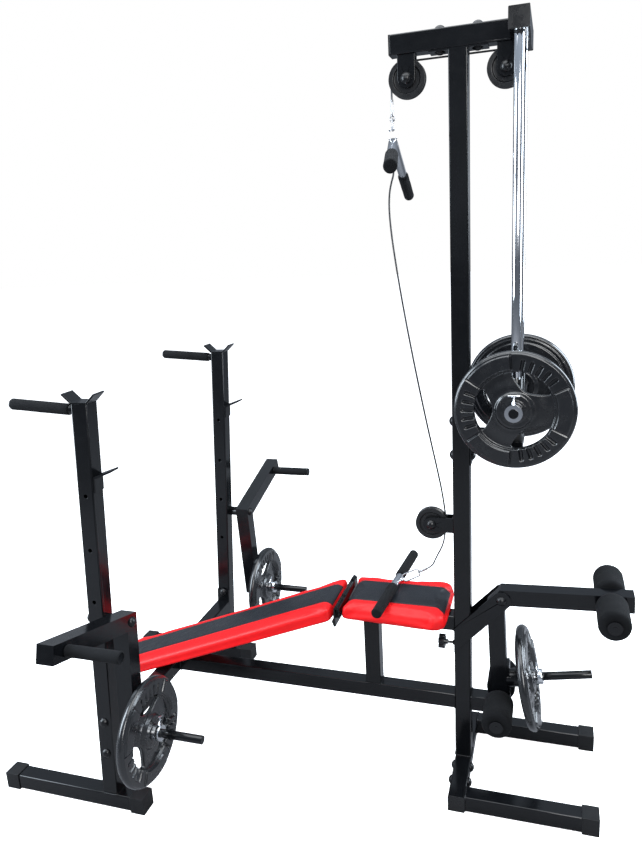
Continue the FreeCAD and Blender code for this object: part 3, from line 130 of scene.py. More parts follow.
def add_stage():
    """A pale floor under soft studio light; reflections see the floor darker than it looks."""
    add_world()
    add_light("ceiling", (-0.3, -0.6, 4.6), (-0.3, -0.2, 0), (5.0, 4.0), 230, (0.94, 0.97, 1.0))
    add_light("key", (1.6, -3.6, 2.8), MIDDLE, (1.6, 2.2), 110)
    add_light("side", (-3.6, -1.6, 2.2), MIDDLE, (1.8, 3.0), 190, COOL)
    add_light("edge", (2.8, 1.2, 2.2), MIDDLE, (1.6, 3.0), 170, COOL)
    mesh = bpy.data.meshes.new("floor")
    corners = [(x * FLOOR_HALF, y * FLOOR_HALF, 0) for x, y in ((-1, -1), (1, -1), (1, 1), (-1, 1))]
    mesh.from_pydata(corners, [], [(0, 1, 2, 3)])
    floor = bpy.data.objects.new("floor", mesh)
    SCENE.collection.objects.link(floor)
    material = surface("studio_floor", (0.80, 0.80, 0.81), 0.75, grain=(30, 0.0002), mottle=0.01)
    nodes, links = material.node_tree.nodes, material.node_tree.links
    dim = nodes.new("ShaderNodeBsdfDiffuse")
    dim.inputs["Color"].default_value = (0.22, 0.22, 0.23, 1)
    glow = nodes.new("ShaderNodeEmission")
    glow.inputs["Strength"].default_value = 0.96
    lit = nodes.new("ShaderNodeAddShader")
    links.new(nodes["Principled BSDF"].outputs["BSDF"], lit.inputs[0])
    links.new(glow.outputs["Emission"], lit.inputs[1])
    mix = nodes.new("ShaderNodeMixShader")
    links.new(nodes.new("ShaderNodeLightPath").outputs["Is Camera Ray"], mix.inputs[0])
    links.new(dim.outputs["BSDF"], mix.inputs[1])
    links.new(lit.outputs["Shader"], mix.inputs[2])
    links.new(mix.outputs["Shader"], nodes["Material Output"].inputs["Surface"])
    floor.data.materials.append(material)


# ---------------------------------------------------------------- materials

def surface(name, colour, rough, metal=0.0, grain=(400, 0.0001), mottle=0.2, spread=0.08, cells=None,
            coat=0.0, sheen=0.0, specular=0.5, wear=None):
    """A procedural finish: colour varied by soft noise, roughness by another, and a fine bump.

    grain is the bump noise's scale per metre and its depth; cells adds a pebbled grain in the same terms;
    wear is a second colour that shows on rubbed patches.
    """
    material = bpy.data.materials.new(name)
    material.use_nodes = True
    nodes, links = material.node_tree.nodes, material.node_tree.links
    shader = nodes["Principled BSDF"]
    shader.inputs["Metallic"].default_value = metal
    shader.inputs["Coat Weight"].default_value = coat
    shader.inputs["Coat Roughness"].default_value = 0.08
    shader.inputs["Sheen Weight"].default_value = sheen
    shader.inputs["Sheen Roughness"].default_value = 0.5
    shader.inputs["Specular IOR Level"].default_value = specular
    place = nodes.new("ShaderNodeTexCoord").outputs["Object"]

    def noise_field(scale, detail=3.0):
        node = nodes.new("ShaderNodeTexNoise")
        node.inputs["Scale"].default_value = scale
        node.inputs["Detail"].default_value = detail
        links.new(place, node.inputs["Vector"])
        return node.outputs["Fac"]

    ramp = nodes.new("ShaderNodeValToRGB")
    low, high = [tuple(min(1, c * k) for c in colour) + (1,) for k in (1 - mottle, 1 + mottle)]
    ramp.color_ramp.elements[0].color, ramp.color_ramp.elements[1].color = low, high
    ramp.color_ramp.elements[0].position, ramp.color_ramp.elements[1].position = 0.3, 0.7
    links.new(noise_field(9), ramp.inputs["Fac"])
    tone = ramp.outputs["Color"]
    if wear:
        patch = nodes.new("ShaderNodeMapRange")
        patch.inputs["From Min"].default_value = 0.66
        patch.inputs["From Max"].default_value = 0.80
        patch.inputs["To Max"].default_value = 0.55
        links.new(noise_field(60, 8), patch.inputs["Value"])
        mix = nodes.new("ShaderNodeMix")
        mix.data_type = "RGBA"
        mix.inputs[7].default_value = tuple(wear) + (1,)
        links.new(patch.outputs["Result"], mix.inputs[0])
        links.new(tone, mix.inputs[6])
        tone = mix.outputs[2]
    links.new(tone, shader.inputs["Base Color"])
    spans = nodes.new("ShaderNodeMapRange")
    spans.inputs["From Min"].default_value = 0.3
    spans.inputs["From Max"].default_value = 0.7
    spans.inputs["To Min"].default_value = max(0.02, rough - spread)
    spans.inputs["To Max"].default_value = rough + spread
    links.new(noise_field(37, 5), spans.inputs["Value"])
    links.new(spans.outputs["Result"], shader.inputs["Roughness"])
    bump = nodes.new("ShaderNodeBump")
    bump.inputs["Strength"].default_value = 1.0
    bump.inputs["Distance"].default_value = grain[1]
    links.new(noise_field(grain[0]), bump.inputs["Height"])
    if cells:
        pebble = nodes.new("ShaderNodeTexVoronoi")
        pebble.feature = "SMOOTH_F1"
        pebble.inputs["Scale"].default_value = cells[0]
        links.new(place, pebble.inputs["Vector"])
        pebbled = nodes.new("ShaderNodeBump")
        pebbled.inputs["Strength"].default_value = 1.0
        pebbled.inputs["Distance"].default_value = cells[1]
        pebbled.invert = True
        links.new(pebble.outputs["Distance"], pebbled.inputs["Height"])
        links.new(pebbled.outputs["Normal"], bump.inputs["Normal"])
    links.new(bump.outputs["Normal"], shader.inputs["Normal"])
    return material


PAINT = surface("black_powder_coat", (0.0030, 0.0034, 0.0042), 0.17, grain=(420, 0.00008),
                mottle=0.25, spread=0.05, specular=0.32, coat=0.12)
CHROME = surface("polished_chrome", (0.80, 0.82, 0.85), 0.07, metal=1.0, grain=(60, 0.000006),
                 mottle=0.03, spread=0.03)
STEEL = surface("bright_wire", (0.42, 0.42, 0.43), 0.30, metal=1.0, grain=(1500, 0.0001), mottle=0.15)
FOAM = surface("black_foam", (0.0075, 0.0080, 0.0090), 0.85, grain=(900, 0.0004), mottle=0.25, spread=0.06,
               cells=(1500, 0.0004), sheen=0.02, specular=0.08)
RUBBER = surface("black_rubber", (0.0060, 0.0062, 0.0068), 0.45, grain=(700, 0.00015), spread=0.1,
                 specular=0.35)
PLATE = surface("rubber_coated_iron", (0.0040, 0.0046, 0.0058), 0.24, grain=(520, 0.00010), mottle=0.25,
                spread=0.07, specular=0.60, coat=0.35, wear=(0.012, 0.013, 0.015))
NYLON = surface("moulded_nylon", (0.0070, 0.0072, 0.0080), 0.30, grain=(900, 0.00006), mottle=0.15)
CAP = surface("glossy_cap", (0.0050, 0.0052, 0.0060), 0.26, grain=(300, 0.00002), mottle=0.1, spread=0.05,
              specular=0.35)
CABLE = surface("coated_cable", (0.010, 0.010, 0.011), 0.32, grain=(1200, 0.00008))
GREY_CABLE = surface("grey_cable", (0.07, 0.073, 0.078), 0.42, grain=(1200, 0.00008))
VINYL = surface("red_vinyl", (0.66, 0.0065, 0.0085), 0.38, grain=(120, 0.0002), mottle=0.10, spread=0.06,
                cells=(900, 0.0003), coat=0.04, specular=0.25)

FINISH = {"black_paint": PAINT, "chrome": CHROME, "vinyl": VINYL, "foam_black": FOAM, "cap_rubber": RUBBER,
          "plate_black": PLATE, "nylon_black": NYLON, "bolt_cap": CAP, "cable_coat": CABLE}
BRIGHT_WIRE = ("lat_clip", "row_clip")


# ---------------------------------------------------------------- vinyl of the two pads

def padded_vinyl(name, seam, flare_from, flare, top, stitch=0.006):
    """Upholstery vinyl in two colours: a dark centre panel between two stitched seams, and red around it.

    The panel's half width is seam, and grows past flare_from along the pad; below the height top all is red.
    """
    material = surface(name, (0.66, 0.0065, 0.0085), 0.38, grain=(120, 0.0002), mottle=0.10, spread=0.06,
                       cells=(900, 0.0003), coat=0.04, specular=0.25)
    nodes, links = material.node_tree.nodes, material.node_tree.links
    shader = nodes["Principled BSDF"]
    red = shader.inputs["Base Color"].links[0].from_socket
    place = nodes.new("ShaderNodeTexCoord")
    split = nodes.new("ShaderNodeSeparateXYZ")
    links.new(place.outputs["Object"], split.inputs["Vector"])

    def math_node(operation, first, second=None, third=None):
        node = nodes.new("ShaderNodeMath")
        node.operation = operation
        for socket, given in zip(node.inputs, (first, second, third)):
            if given is None:
                continue
            if isinstance(given, (int, float)):
                socket.default_value = given
            else:
                links.new(given, socket)
        return node.outputs[0]

    def band(field, edge, soft):
        """1 where the field is above the edge, with a soft step."""
        step = nodes.new("ShaderNodeMapRange")
        step.interpolation_type = "SMOOTHSTEP"
        step.inputs["From Min"].default_value = edge - soft
        step.inputs["From Max"].default_value = edge + soft
        links.new(field, step.inputs["Value"])
        return step.outputs["Result"]

    aside = math_node("ABSOLUTE", split.outputs["Y"])
    past = math_node("MAXIMUM", math_node("MULTIPLY", math_node("SUBTRACT", split.outputs["X"], flare_from),
                                          math.copysign(1, flare)), 0.0)
    widening = math_node("MULTIPLY", math_node("POWER", past, 2.0), abs(flare))
    inside = math_node("SUBTRACT", math_node("ADD", widening, seam), aside)
    panel = math_node("MULTIPLY", band(inside, 0.0, 0.0006), band(split.outputs["Z"], top, 0.0006))
    dark = nodes.new("ShaderNodeValToRGB")
    dark.color_ramp.elements[0].color = (0.0085, 0.0095, 0.012, 1)
    dark.color_ramp.elements[1].color = (0.0165, 0.0185, 0.023, 1)
    links.new(nodes["Noise Texture"].outputs["Fac"], dark.inputs["Fac"])
    mix = nodes.new("ShaderNodeMix")
    mix.data_type = "RGBA"
    links.new(panel, mix.inputs[0])
    links.new(red, mix.inputs[6])
    links.new(dark.outputs["Color"], mix.inputs[7])
    dash = band(math_node("FRACT", math_node("DIVIDE", split.outputs["X"], stitch)), 0.32, 0.05)
    off_seam = math_node("ABSOLUTE", math_node("ADD", inside, 0.0028))
    row = band(math_node("MULTIPLY", off_seam, -1.0), -0.0007, 0.0002)
    sewn = math_node("MULTIPLY", math_node("MULTIPLY", dash, row), band(split.outputs["Z"], top, 0.0006))
    thread = nodes.new("ShaderNodeMix")
    thread.data_type = "RGBA"
    thread.inputs[7].default_value = (0.02, 0.005, 0.006, 1)
    links.new(sewn, thread.inputs[0])
    links.new(mix.outputs[2], thread.inputs[6])
    links.new(thread.outputs[2], shader.inputs["Base Color"])
    return material


# ---------------------------------------------------------------- mesh helpers

def add_piece(name, mesh, body, finish, replaced=(), smooth=True, place=None):
    """Show a mesh as one piece that rides on a body and may stand for CAD nodes."""
    piece = bpy.data.objects.new(name, mesh)
    SCENE.collection.objects.link(piece)
    if place is not None:
        piece.matrix_world = place
    if not mesh.materials:
        mesh.materials.append(finish)
    mesh.polygons.foreach_set("use_smooth", [smooth] * len(mesh.polygons))
    if body:
        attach(piece, body)
    if replaced:
        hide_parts(*replaced)
    return piece


def mesh_of(name, points, faces, merge=0.0):
    mesh = bpy.data.meshes.new(name)
    mesh.from_pydata([tuple(point) for point in points], [], faces)
    shell = bmesh.new()
    shell.from_mesh(mesh)
    if merge:
        bmesh.ops.remove_doubles(shell, verts=shell.verts, dist=merge)
    bmesh.ops.recalc_face_normals(shell, faces=shell.faces)
    shell.to_mesh(mesh)
    shell.free()
    return mesh


def lathe(name, outline, start, end, steps=64, wobble=0.0):
    """A closed outline of (distance along, radius) turned about the line from start towards end."""
    axis = (Vector(end) - Vector(start)).normalized()
    across = axis.orthogonal().normalized()
    upward = axis.cross(across)
    points, faces, count = [], [], len(outline)
    for step in range(steps):
        angle = 2 * math.pi * step / steps
        outward = across * math.cos(angle) + upward * math.sin(angle)
        for along, radius in outline:
            spot = Vector(start) + axis * along + outward * radius
            points.append(spot + outward * (wobble * noise.noise(spot * 60)) if radius > 0 else spot)
    for step in range(steps):
        here, after = step * count, (step + 1) % steps * count
        for index in range(count):
            following = (index + 1) % count
            faces.append((here + index, here + following, after + following, after + index))
    return mesh_of(name, points, faces, merge=1e-6)


def tube(name, path, radius, sides=12, closed=False, ripple=0.0):
    """A round tube along a path of points; ripple swells it in small beads."""
    points, faces = [], []
    count = len(path)
    across = None
    for index, spot in enumerate(path):
        before = path[index - 1] if index or closed else spot
        after = path[(index + 1) % count] if index < count - 1 or closed else spot
        ahead = (Vector(after) - Vector(before)).normalized()
        across = ahead.orthogonal() if across is None else across - ahead * across.dot(ahead)
        across.normalize()
        aside = ahead.cross(across)
        swell = radius * (1 + ripple * noise.noise(Vector(spot) * 300) + ripple * 0.6 * math.sin(index * 1.6))
        points += [Vector(spot) + (across * math.cos(turn) + aside * math.sin(turn)) * swell
                   for turn in (2 * math.pi * side / sides for side in range(sides))]
    for index in range(count if closed else count - 1):
        here, after = index * sides, (index + 1) % count * sides
        for side in range(sides):
            following = (side + 1) % sides
            faces.append((here + side, here + following, after + following, after + side))
    if not closed:
        faces.append(tuple(range(sides)))
        faces.append(tuple(range((count - 1) * sides, count * sides)))
    return mesh_of(name, points, faces)


def solids(node):
    """The surface points of each separate solid of a CAD node, in the mesh's own order."""
    shell = bmesh.new()
    shell.from_mesh(NODES[node].data)
    bmesh.ops.remove_doubles(shell, verts=shell.verts, dist=1e-6)
    left, found = dict.fromkeys(shell.verts), []
    while left:
        front = [next(iter(left))]
        del left[front[0]]
        island = list(front)
        while front:
            for edge in front.pop().link_edges:
                for vert in edge.verts:
                    if vert in left:
                        del left[vert]
                        island.append(vert)
                        front.append(vert)
        found.append(np.array([vert.co for vert in island]))
    shell.free()
    return found


def bar_of(points):
    """(one end, other end, radius) of a round bar, from its surface points."""
    middle = points.mean(0)
    axis = np.linalg.svd(points - middle, full_matrices=False)[2][0]
    along = (points - middle) @ axis
    away = np.linalg.norm(points - middle - np.outer(along, axis), axis=1)
    return Vector(middle + axis * along.min()), Vector(middle + axis * along.max()), float(away.max())


# ---------------------------------------------------------------- foam grips and rollers

GRIP_BORE, ROLLER_BORE = 0.0128, 0.0063
GRIP_CORNER, HANDLE_CORNER, ROLLER_CORNER = 0.003, 0.004, 0.011
GRIP_END_WALL = 0.0027
NUT_RADIUS, NUT_HEIGHT, NUT_FOOT = 0.0092, 0.0090, 0.0002


def foam_outline(length, radius, bore, corner, closed_end=False):
    """Outline of a foam sleeve with rounded ends."""
    bend = [math.radians(angle) for angle in (0, 22.5, 45, 67.5, 90)]
    outline = [(0, bore)]
    outline += [(corner - corner * math.cos(a), radius - corner + corner * math.sin(a)) for a in bend]
    outline += [(corner + (length - 2 * corner) * k / 12, radius) for k in range(1, 12)]
    outline += [(length - corner + corner * math.sin(a), radius - corner + corner * math.cos(a))
                for a in bend]
    if closed_end:
        inside = length - GRIP_END_WALL
        return outline + [(length, 0), (inside, 0), (inside, bore)]
    return outline + [(length, bore)]


def add_foam(node, body, bore, corner, closed_from=None):
    """A foam sleeve in place of each solid of a node; its end away from closed_from, if given, is closed."""
    for index, points in enumerate(solids(node)):
        start, end, radius = bar_of(points)
        if closed_from is not None and (start - closed_from).length > (end - closed_from).length:
            start, end = end, start
        outline = foam_outline((end - start).length, radius, bore, corner, closed_from is not None)
        mesh = lathe("%s_foam_%d" % (node, index), outline, start, end, wobble=0.0005)
        piece = add_piece("%s_foam_%d" % (node, index), mesh, body, FOAM, [node])


def middle_of(node):
    low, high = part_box(node)
    return (low + high) / 2


def add_grips():
    add_foam("dip_grips", "frame", GRIP_BORE, GRIP_CORNER)
    for side in ("left", "right"):
        add_foam("fly_grip_" + side, "fly_arm_" + side, GRIP_BORE, GRIP_CORNER)
    for bar in ("lat_bar", "row_bar"):
        add_foam(bar + "_grips", bar, GRIP_BORE, HANDLE_CORNER, middle_of(bar))
    for level in ("upper", "lower"):
        add_foam(level + "_foot_rollers", level + "_rollers", ROLLER_BORE, ROLLER_CORNER)


def add_nuts():
    """A domed nut on each end of the roller axles, in the axle's washer."""
    bend = [math.radians(9 * k) for k in range(1, 10)]
    outline = [(0, 0), (0, 0.0108), (NUT_FOOT, NUT_RADIUS)]
    outline += [(NUT_FOOT + (NUT_HEIGHT - NUT_FOOT) * math.sin(a), NUT_RADIUS * math.cos(a)) for a in bend]
    outline += [(NUT_HEIGHT, 0)]
    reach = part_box("leg_arm")[1].y - NUT_RADIUS
    for name in ("upper", "lower"):
        axle = middle_of(name + "_foot_rollers")
        for side_name, side in (("left", 1), ("right", -1)):
            face = Vector((axle.x, side * reach, axle.z))
            mesh = lathe(name + "_nut", outline, face, face + Vector((0, side, 0)), steps=48)
            nut = add_piece("%s_axle_nut_%s" % (name, side_name), mesh, "leg_arm", CAP)


# ---------------------------------------------------------------- weight plates

PLATE_RADIUS, HALF_WIDTH, BORE = 0.157, 0.018, 0.0133
HUB_RADIUS = 0.045
RING_INNER, RING_MIDDLE = 0.103, 0.096
WINDOW_HALF = 34.5
PAD_INNER, PAD_OUTER, PAD_SPAN = 0.1085, 0.1475, 25.5
GUTTER_INNER, GUTTER_OUTER, GUTTER_SPAN = 0.1062, 0.1498, 27.0
FINGERS, FINGER_HALF, FINGER_OUTER, FINGER_DEPTH = (-21, -10.5, 0, 10.5, 21), 0.0054, 0.1375, 0.0080


def smooth(value):
    value = min(1.0, max(0.0, value))
    return value * value * (3 - 2 * value)


def rise(value, start, width):
    """0 up to start and 1 past start + width."""
    return smooth((value - start) / width)


def fall(value, end, width):
    """1 up to end - width and 0 past end."""
    return smooth((end - value) / width)


def window_edge(angle):
    """(inner, outer) radius of a hand window at an angle in degrees from its middle; equal where closed."""
    share = abs(angle) / WINDOW_HALF
    if share >= 1:
        return RING_MIDDLE, RING_MIDDLE
    rounding = (1 - share ** 8) ** 0.5
    inner = 0.0555 + 0.030 * share ** 2.2
    return RING_MIDDLE + (inner - RING_MIDDLE) * rounding, RING_MIDDLE + (RING_INNER - RING_MIDDLE) * rounding


def face_height(radius, angle):
    """Height of the front face at a radius and an angle from the middle of the nearest window."""
    hub = 0.0170 - 0.0012 * rise(radius, 0.030, 0.002) - 0.0085 * rise(radius, HUB_RADIUS, 0.006)
    web = hub - 0.0030 * rise(radius, 0.058, 0.035)
    ring = 0.0130 - 0.0045 * rise(radius, 0.1500, 0.0018) - 0.005 * rise(radius, 0.1540, 0.003)
    height = web + (ring - web) * rise(radius, 0.1015, 0.004)
    spoke = 60 - abs(angle)
    pad = fall(spoke, PAD_SPAN, 1.4) * rise(radius, PAD_INNER, 0.0022) * fall(radius, PAD_OUTER, 0.0022)
    gutter = fall(spoke, GUTTER_SPAN, 0.8) * rise(radius, GUTTER_INNER, 0.001)
    gutter *= fall(radius, GUTTER_OUTER, 0.001)
    height += 0.0046 * pad - 0.0022 * (gutter - pad) * (gutter > pad)
    for finger in FINGERS:
        aside = abs(math.radians(angle - finger)) * radius
        reach = FINGER_OUTER - radius - aside * aside / 0.008
        depth = fall(aside, FINGER_HALF, 0.0020) * smooth(reach / 0.002)
        height -= FINGER_DEPTH * depth * rise(radius, 0.098, 0.004)
    return height


def back_height(radius):
    """Depth of the back face behind the plate's middle at a radius."""
    hub = 0.0175 - 0.0085 * rise(radius, 0.046, 0.005)
    ring = 0.0175 - 0.003 * rise(radius, 0.132, 0.001) - 0.002 * rise(radius, 0.144, 0.001)
    ring -= 0.008 * rise(radius, 0.1520, 0.005)
    return hub + (ring - hub) * rise(radius, 0.104, 0.006)


def plate_mesh():
    """A rubber coated tri grip plate on Z: hub, spokes, hand windows, finger grooves and raised pads."""
    columns, inner_rings, outer_rings = 540, 20, 34
    points, faces, spans = [], [], []
    for column in range(columns):
        degrees = 360 * column / columns
        angle = (degrees - 25 + 60) % 120 - 60
        inner, outer = window_edge(angle)
        radii = [BORE + (inner - BORE) * k / (inner_rings - 1) for k in range(inner_rings)]
        radii += [outer + (PLATE_RADIUS - outer) * k / (outer_rings - 1) for k in range(outer_rings)]
        spans.append(outer - inner)
        turn = math.radians(degrees)
        for front in (True, False):
            for radius in radii:
                level = face_height(radius, angle) if front else -back_height(radius)
                points.append((radius * math.cos(turn), radius * math.sin(turn), level))
    ring = inner_rings + outer_rings

    def vert(column, index, front):
        return (column % columns) * 2 * ring + (0 if front else ring) + index

    for column in range(columns):
        for front in (True, False):
            for index in range(ring - 1):
                if index != inner_rings - 1:
                    faces.append([vert(column, index, front), vert(column, index + 1, front),
                                  vert(column + 1, index + 1, front), vert(column + 1, index, front)])
        for index in (0, ring - 1):
            faces.append([vert(column, index, True), vert(column + 1, index, True),
                          vert(column + 1, index, False), vert(column, index, False)])
        if spans[column] > 1e-6 or spans[(column + 1) % columns] > 1e-6:
            for index in (inner_rings - 1, inner_rings):
                faces.append([vert(column, index, True), vert(column + 1, index, True),
                              vert(column + 1, index, False), vert(column, index, False)])
    return mesh_of("tri_grip_plate", points, faces, merge=2e-6)


def rotation(degrees, axis):
    return Matrix.Rotation(math.radians(degrees), 4, axis)


def add_plates():
    mesh = plate_mesh()
    low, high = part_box("carriage_plates")
    out = high.y - HALF_WIDTH
    middle = (low + high) / 2
    places = [("carriage_plate_left", "carriage", "carriage_plates", Vector((middle.x, out, middle.z)),
               rotation(-90, "X") @ rotation(30, "Z")),
              ("carriage_plate_right", "carriage", "carriage_plates", Vector((middle.x, -out, middle.z)),
               rotation(90, "X") @ rotation(35, "Z")),
              ("fly_plate_left_detail", "fly_arm_left", "fly_plate_left", middle_of("fly_plate_left"),
               rotation(90, "Y") @ rotation(40, "Z")),
              ("fly_plate_right_detail", "fly_arm_right", "fly_plate_right", middle_of("fly_plate_right"),
               rotation(90, "Y") @ rotation(-90, "Z")),
              ("leg_plate_detail", "leg_arm", "leg_plate", middle_of("leg_plate"),
               rotation(-2.3, "Y") @ rotation(81.5, "Y"))]
    for name, body, node, spot, turn in places:
        piece = add_piece(name, mesh, body, PLATE, [node], place=Matrix.Translation(spot) @ turn)


# ---------------------------------------------------------------- cushions

def rounded_outline(back, front, back_half, front_half, corner_back, corner_front, inset):
    """A four sided outline in plan with round corners, pulled in by an inset."""
    back, front = back + inset, front - inset
    back_half, front_half = back_half - inset, front_half - inset
    outline = []
    corners = ((front, front_half, corner_front, 0), (back, back_half, corner_back, 90),
               (back, -back_half, corner_back, 180), (front, -front_half, corner_front, 270))
    for x, y, radius, first in corners:
        radius = max(0.002, radius - inset)
        centre = Vector((x - math.copysign(radius, x - (back + front) / 2), y - math.copysign(radius, y)))
        for step in range(9):
            angle = math.radians(first + 90 * step / 8)
            outline.append((centre.x + radius * math.cos(angle), centre.y + radius * math.sin(angle)))
    return outline


def cushion_mesh(name, levels):
    """A closed loft through outlines at rising heights: [(height, outline), ...]."""
    points, faces = [], []
    count = len(levels[0][1])
    for height, outline in levels:
        points += [(x, y, height) for x, y in outline]
    for level in range(len(levels) - 1):
        here, above = level * count, (level + 1) * count
        for index in range(count):
            after = (index + 1) % count
            faces.append([here + index, here + after, above + after, above + index])
    faces.append(list(range(count)))
    faces.append(list(range((len(levels) - 1) * count, len(levels) * count)))
    return mesh_of(name, points, faces)


def apply_modifiers(piece):
    """Turn what the modifiers make into the piece's own mesh."""
    bpy.context.view_layer.update()
    shown = piece.evaluated_get(bpy.context.evaluated_depsgraph_get())
    mesh = bpy.data.meshes.new_from_object(shown)
    piece.modifiers.clear()
    piece.data = mesh


def inflate(piece, voxel, pressure, cap, still_below):
    """Swell a closed shape as cloth over its foam; what lies below a height keeps its place."""
    remesh = piece.modifiers.new("voxels", "REMESH")
    remesh.mode = "VOXEL"
    remesh.voxel_size = voxel
    apply_modifiers(piece)
    start = np.array([vert.co for vert in piece.data.vertices])
    held = piece.vertex_groups.new(name="held")
    held.add([int(i) for i in np.nonzero(start[:, 2] < still_below)[0]], 1.0, "REPLACE")
    cloth = piece.modifiers.new("cloth", "CLOTH")
    cloth.settings.use_pressure = True
    cloth.settings.uniform_pressure_force = pressure
    cloth.settings.effector_weights.gravity = 0
    cloth.settings.vertex_group_mass = "held"
    cloth.settings.quality = 5
    cloth.settings.tension_stiffness = 18
    cloth.settings.bending_stiffness = 2.0
    cloth.point_cache.frame_start, cloth.point_cache.frame_end = 1, 20
    for frame_number in range(1, 21):
        SCENE.frame_set(frame_number)
    apply_modifiers(piece)
    SCENE.frame_set(1)
    swollen = np.array([vert.co for vert in piece.data.vertices])
    move = swollen - start
    length = np.linalg.norm(move, axis=1, keepdims=True)
    move *= np.minimum(1.0, cap / np.maximum(length, 1e-9))
    piece.data.vertices.foreach_set("co", (start + move).astype(np.float32).ravel())
    eased = piece.modifiers.new("eased", "SMOOTH")
    eased.factor, eased.iterations = 0.5, 8
    subdivide = piece.modifiers.new("finer", "SUBSURF")
    subdivide.levels = subdivide.render_levels = 1
    apply_modifiers(piece)


def shape_top(piece, base, top, seam_at, depth):
    """Fit the swollen pad under its CAD height, and sink the two seams that cross its top."""
    co = np.array([vert.co for vert in piece.data.vertices])
    normal = np.array([vert.normal for vert in piece.data.vertices])
    share = np.clip((co[:, 2] - base) / (co[:, 2].max() - base), 0, 1)
    co[:, 2] = np.where(co[:, 2] > base, base + share * (top - base), base)
    away = np.abs(np.abs(co[:, 1]) - seam_at(co[:, 0]))
    facing = np.clip(normal[:, 2], 0, 1)
    co[:, 2] -= depth * facing * np.exp(-(away / 0.0032) ** 2)
    piece.data.vertices.foreach_set("co", co.astype(np.float32).ravel())
    piece.data.update()


def pad_levels(base, top, edge, outline_at):
    """Outlines of a pad from its base board to its rounded top edge."""
    levels = [(base, outline_at(0.0035, 0)), (base + 0.004, outline_at(0.0005, 0.05)),
              (base + 0.016, outline_at(0.0, 0.3))]
    for step in range(7):
        angle = math.radians(15 * step)
        height = top - edge + edge * math.sin(angle)
        levels.append((height, outline_at(edge - edge * math.cos(angle), (height - base) / (top - base))))
    return levels


SLIM, CROWN = 0.002, 0.004
PAD_EDGE = 0.016
SEAM_DEPTH, SEAM_TOP_GAP = 0.0022, 0.0004
VOXEL_SEAT, VOXEL_BACK, PRESSURE, SWELL = 0.005, 0.006, 4.0, 0.008
SEAT_SEAM, SEAT_FLARE, SEAT_PANEL_DROP = 0.0665, 0.8, 0.024
BACK_SEAM, BACK_FLARE, BACK_PANEL_DROP = 0.060, 1.5, 0.022


def add_seat():
    low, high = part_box("seat_pad")
    top, base = high.z - CROWN, low.z
    back_half, front_half = 0.118 - SLIM, 0.133 - SLIM
    flare_from = high.x - 0.07

    def outline_at(inset, _share):
        return rounded_outline(low.x + 0.003, high.x - SLIM, back_half, front_half, 0.016, 0.036, inset)

    def seam_at(x):
        return SEAT_SEAM + SEAT_FLARE * np.maximum(0, x - flare_from) ** 2

    mesh = cushion_mesh("seat_cushion", pad_levels(base, top, PAD_EDGE, outline_at))
    vinyl = padded_vinyl("seat_vinyl", SEAT_SEAM, flare_from, SEAT_FLARE, high.z - SEAT_PANEL_DROP)
    piece = add_piece("seat_cushion", mesh, None, vinyl)
    inflate(piece, VOXEL_SEAT, PRESSURE, SWELL, base + 0.004)
    shape_top(piece, base, high.z - SEAM_TOP_GAP, seam_at, SEAM_DEPTH)
    finish_pad(piece, "frame", "seat_pad")


def finish_pad(piece, body, node):
    piece.data.polygons.foreach_set("use_smooth", [True] * len(piece.data.polygons))
    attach(piece, body)
    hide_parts(node)


BACK_TURN = rotation(-21.75, "Y") @ rotation(180, "Z")


def add_backrest():
    turn = np.array(BACK_TURN.to_3x3())
    points = np.array([vert.co for vert in NODES["backrest_pad"].data.vertices]) @ turn
    low, high = Vector(points.min(0)), Vector(points.max(0))
    base, top = low.z, high.z - CROWN
    toe, half = low.x + 0.023, 0.121 - SLIM
    flare_from = low.x + 0.075

    def outline_at(inset, share):
        start = toe + (low.x + 0.006 - toe) * share
        return rounded_outline(start, high.x - SLIM, half, half, 0.016, 0.030, inset)

    def seam_at(x):
        return BACK_SEAM + BACK_FLARE * np.maximum(0, flare_from - x) ** 2

    mesh = cushion_mesh("backrest_cushion", pad_levels(base, top, PAD_EDGE, outline_at))
    vinyl = padded_vinyl("backrest_vinyl", BACK_SEAM, flare_from, -BACK_FLARE, high.z - BACK_PANEL_DROP)
    piece = add_piece("backrest_cushion", mesh, None, vinyl, place=BACK_TURN)
    inflate(piece, VOXEL_BACK, PRESSURE, SWELL, base + 0.004)
    shape_top(piece, base, high.z - SEAM_TOP_GAP, seam_at, SEAM_DEPTH)
    finish_pad(piece, "backrest", "backrest_pad")


# ---------------------------------------------------------------- cables

def on_spline(name, route):
    """The points of a smooth spline whose control points are the route's, in metres."""
    curve = bpy.data.curves.new(name, "CURVE")
    curve.dimensions = "3D"
    spline = curve.splines.new("NURBS")
    spline.points.add(len(route) - 1)
    for point, spot in zip(spline.points, route):
        point.co = (*spot, 1)
    spline.order_u = 3
    spline.use_endpoint_u = True
    spline.resolution_u = 8
    holder = bpy.data.objects.new(name, curve)
    SCENE.collection.objects.link(holder)
    bpy.context.view_layer.update()
    line = bpy.data.meshes.new_from_object(holder.evaluated_get(bpy.context.evaluated_depsgraph_get()))
    path = [vert.co.copy() for vert in line.vertices]
    bpy.data.objects.remove(holder)
    return path


CORD_DIAMETER = 0.005
PULLEY = Vector((-0.091, 0, 0.842))


def on_pulley(angle, radius=0.0435):
    turn = math.radians(angle)
    return PULLEY + Vector((math.cos(turn), 0, math.sin(turn))) * radius


def add_cable(name, path, finish, node):
    """A round cable along a path in place of a CAD node."""
    piece = add_piece(name, tube(name, path, CORD_DIAMETER / 2), None, finish, [node])
    return piece


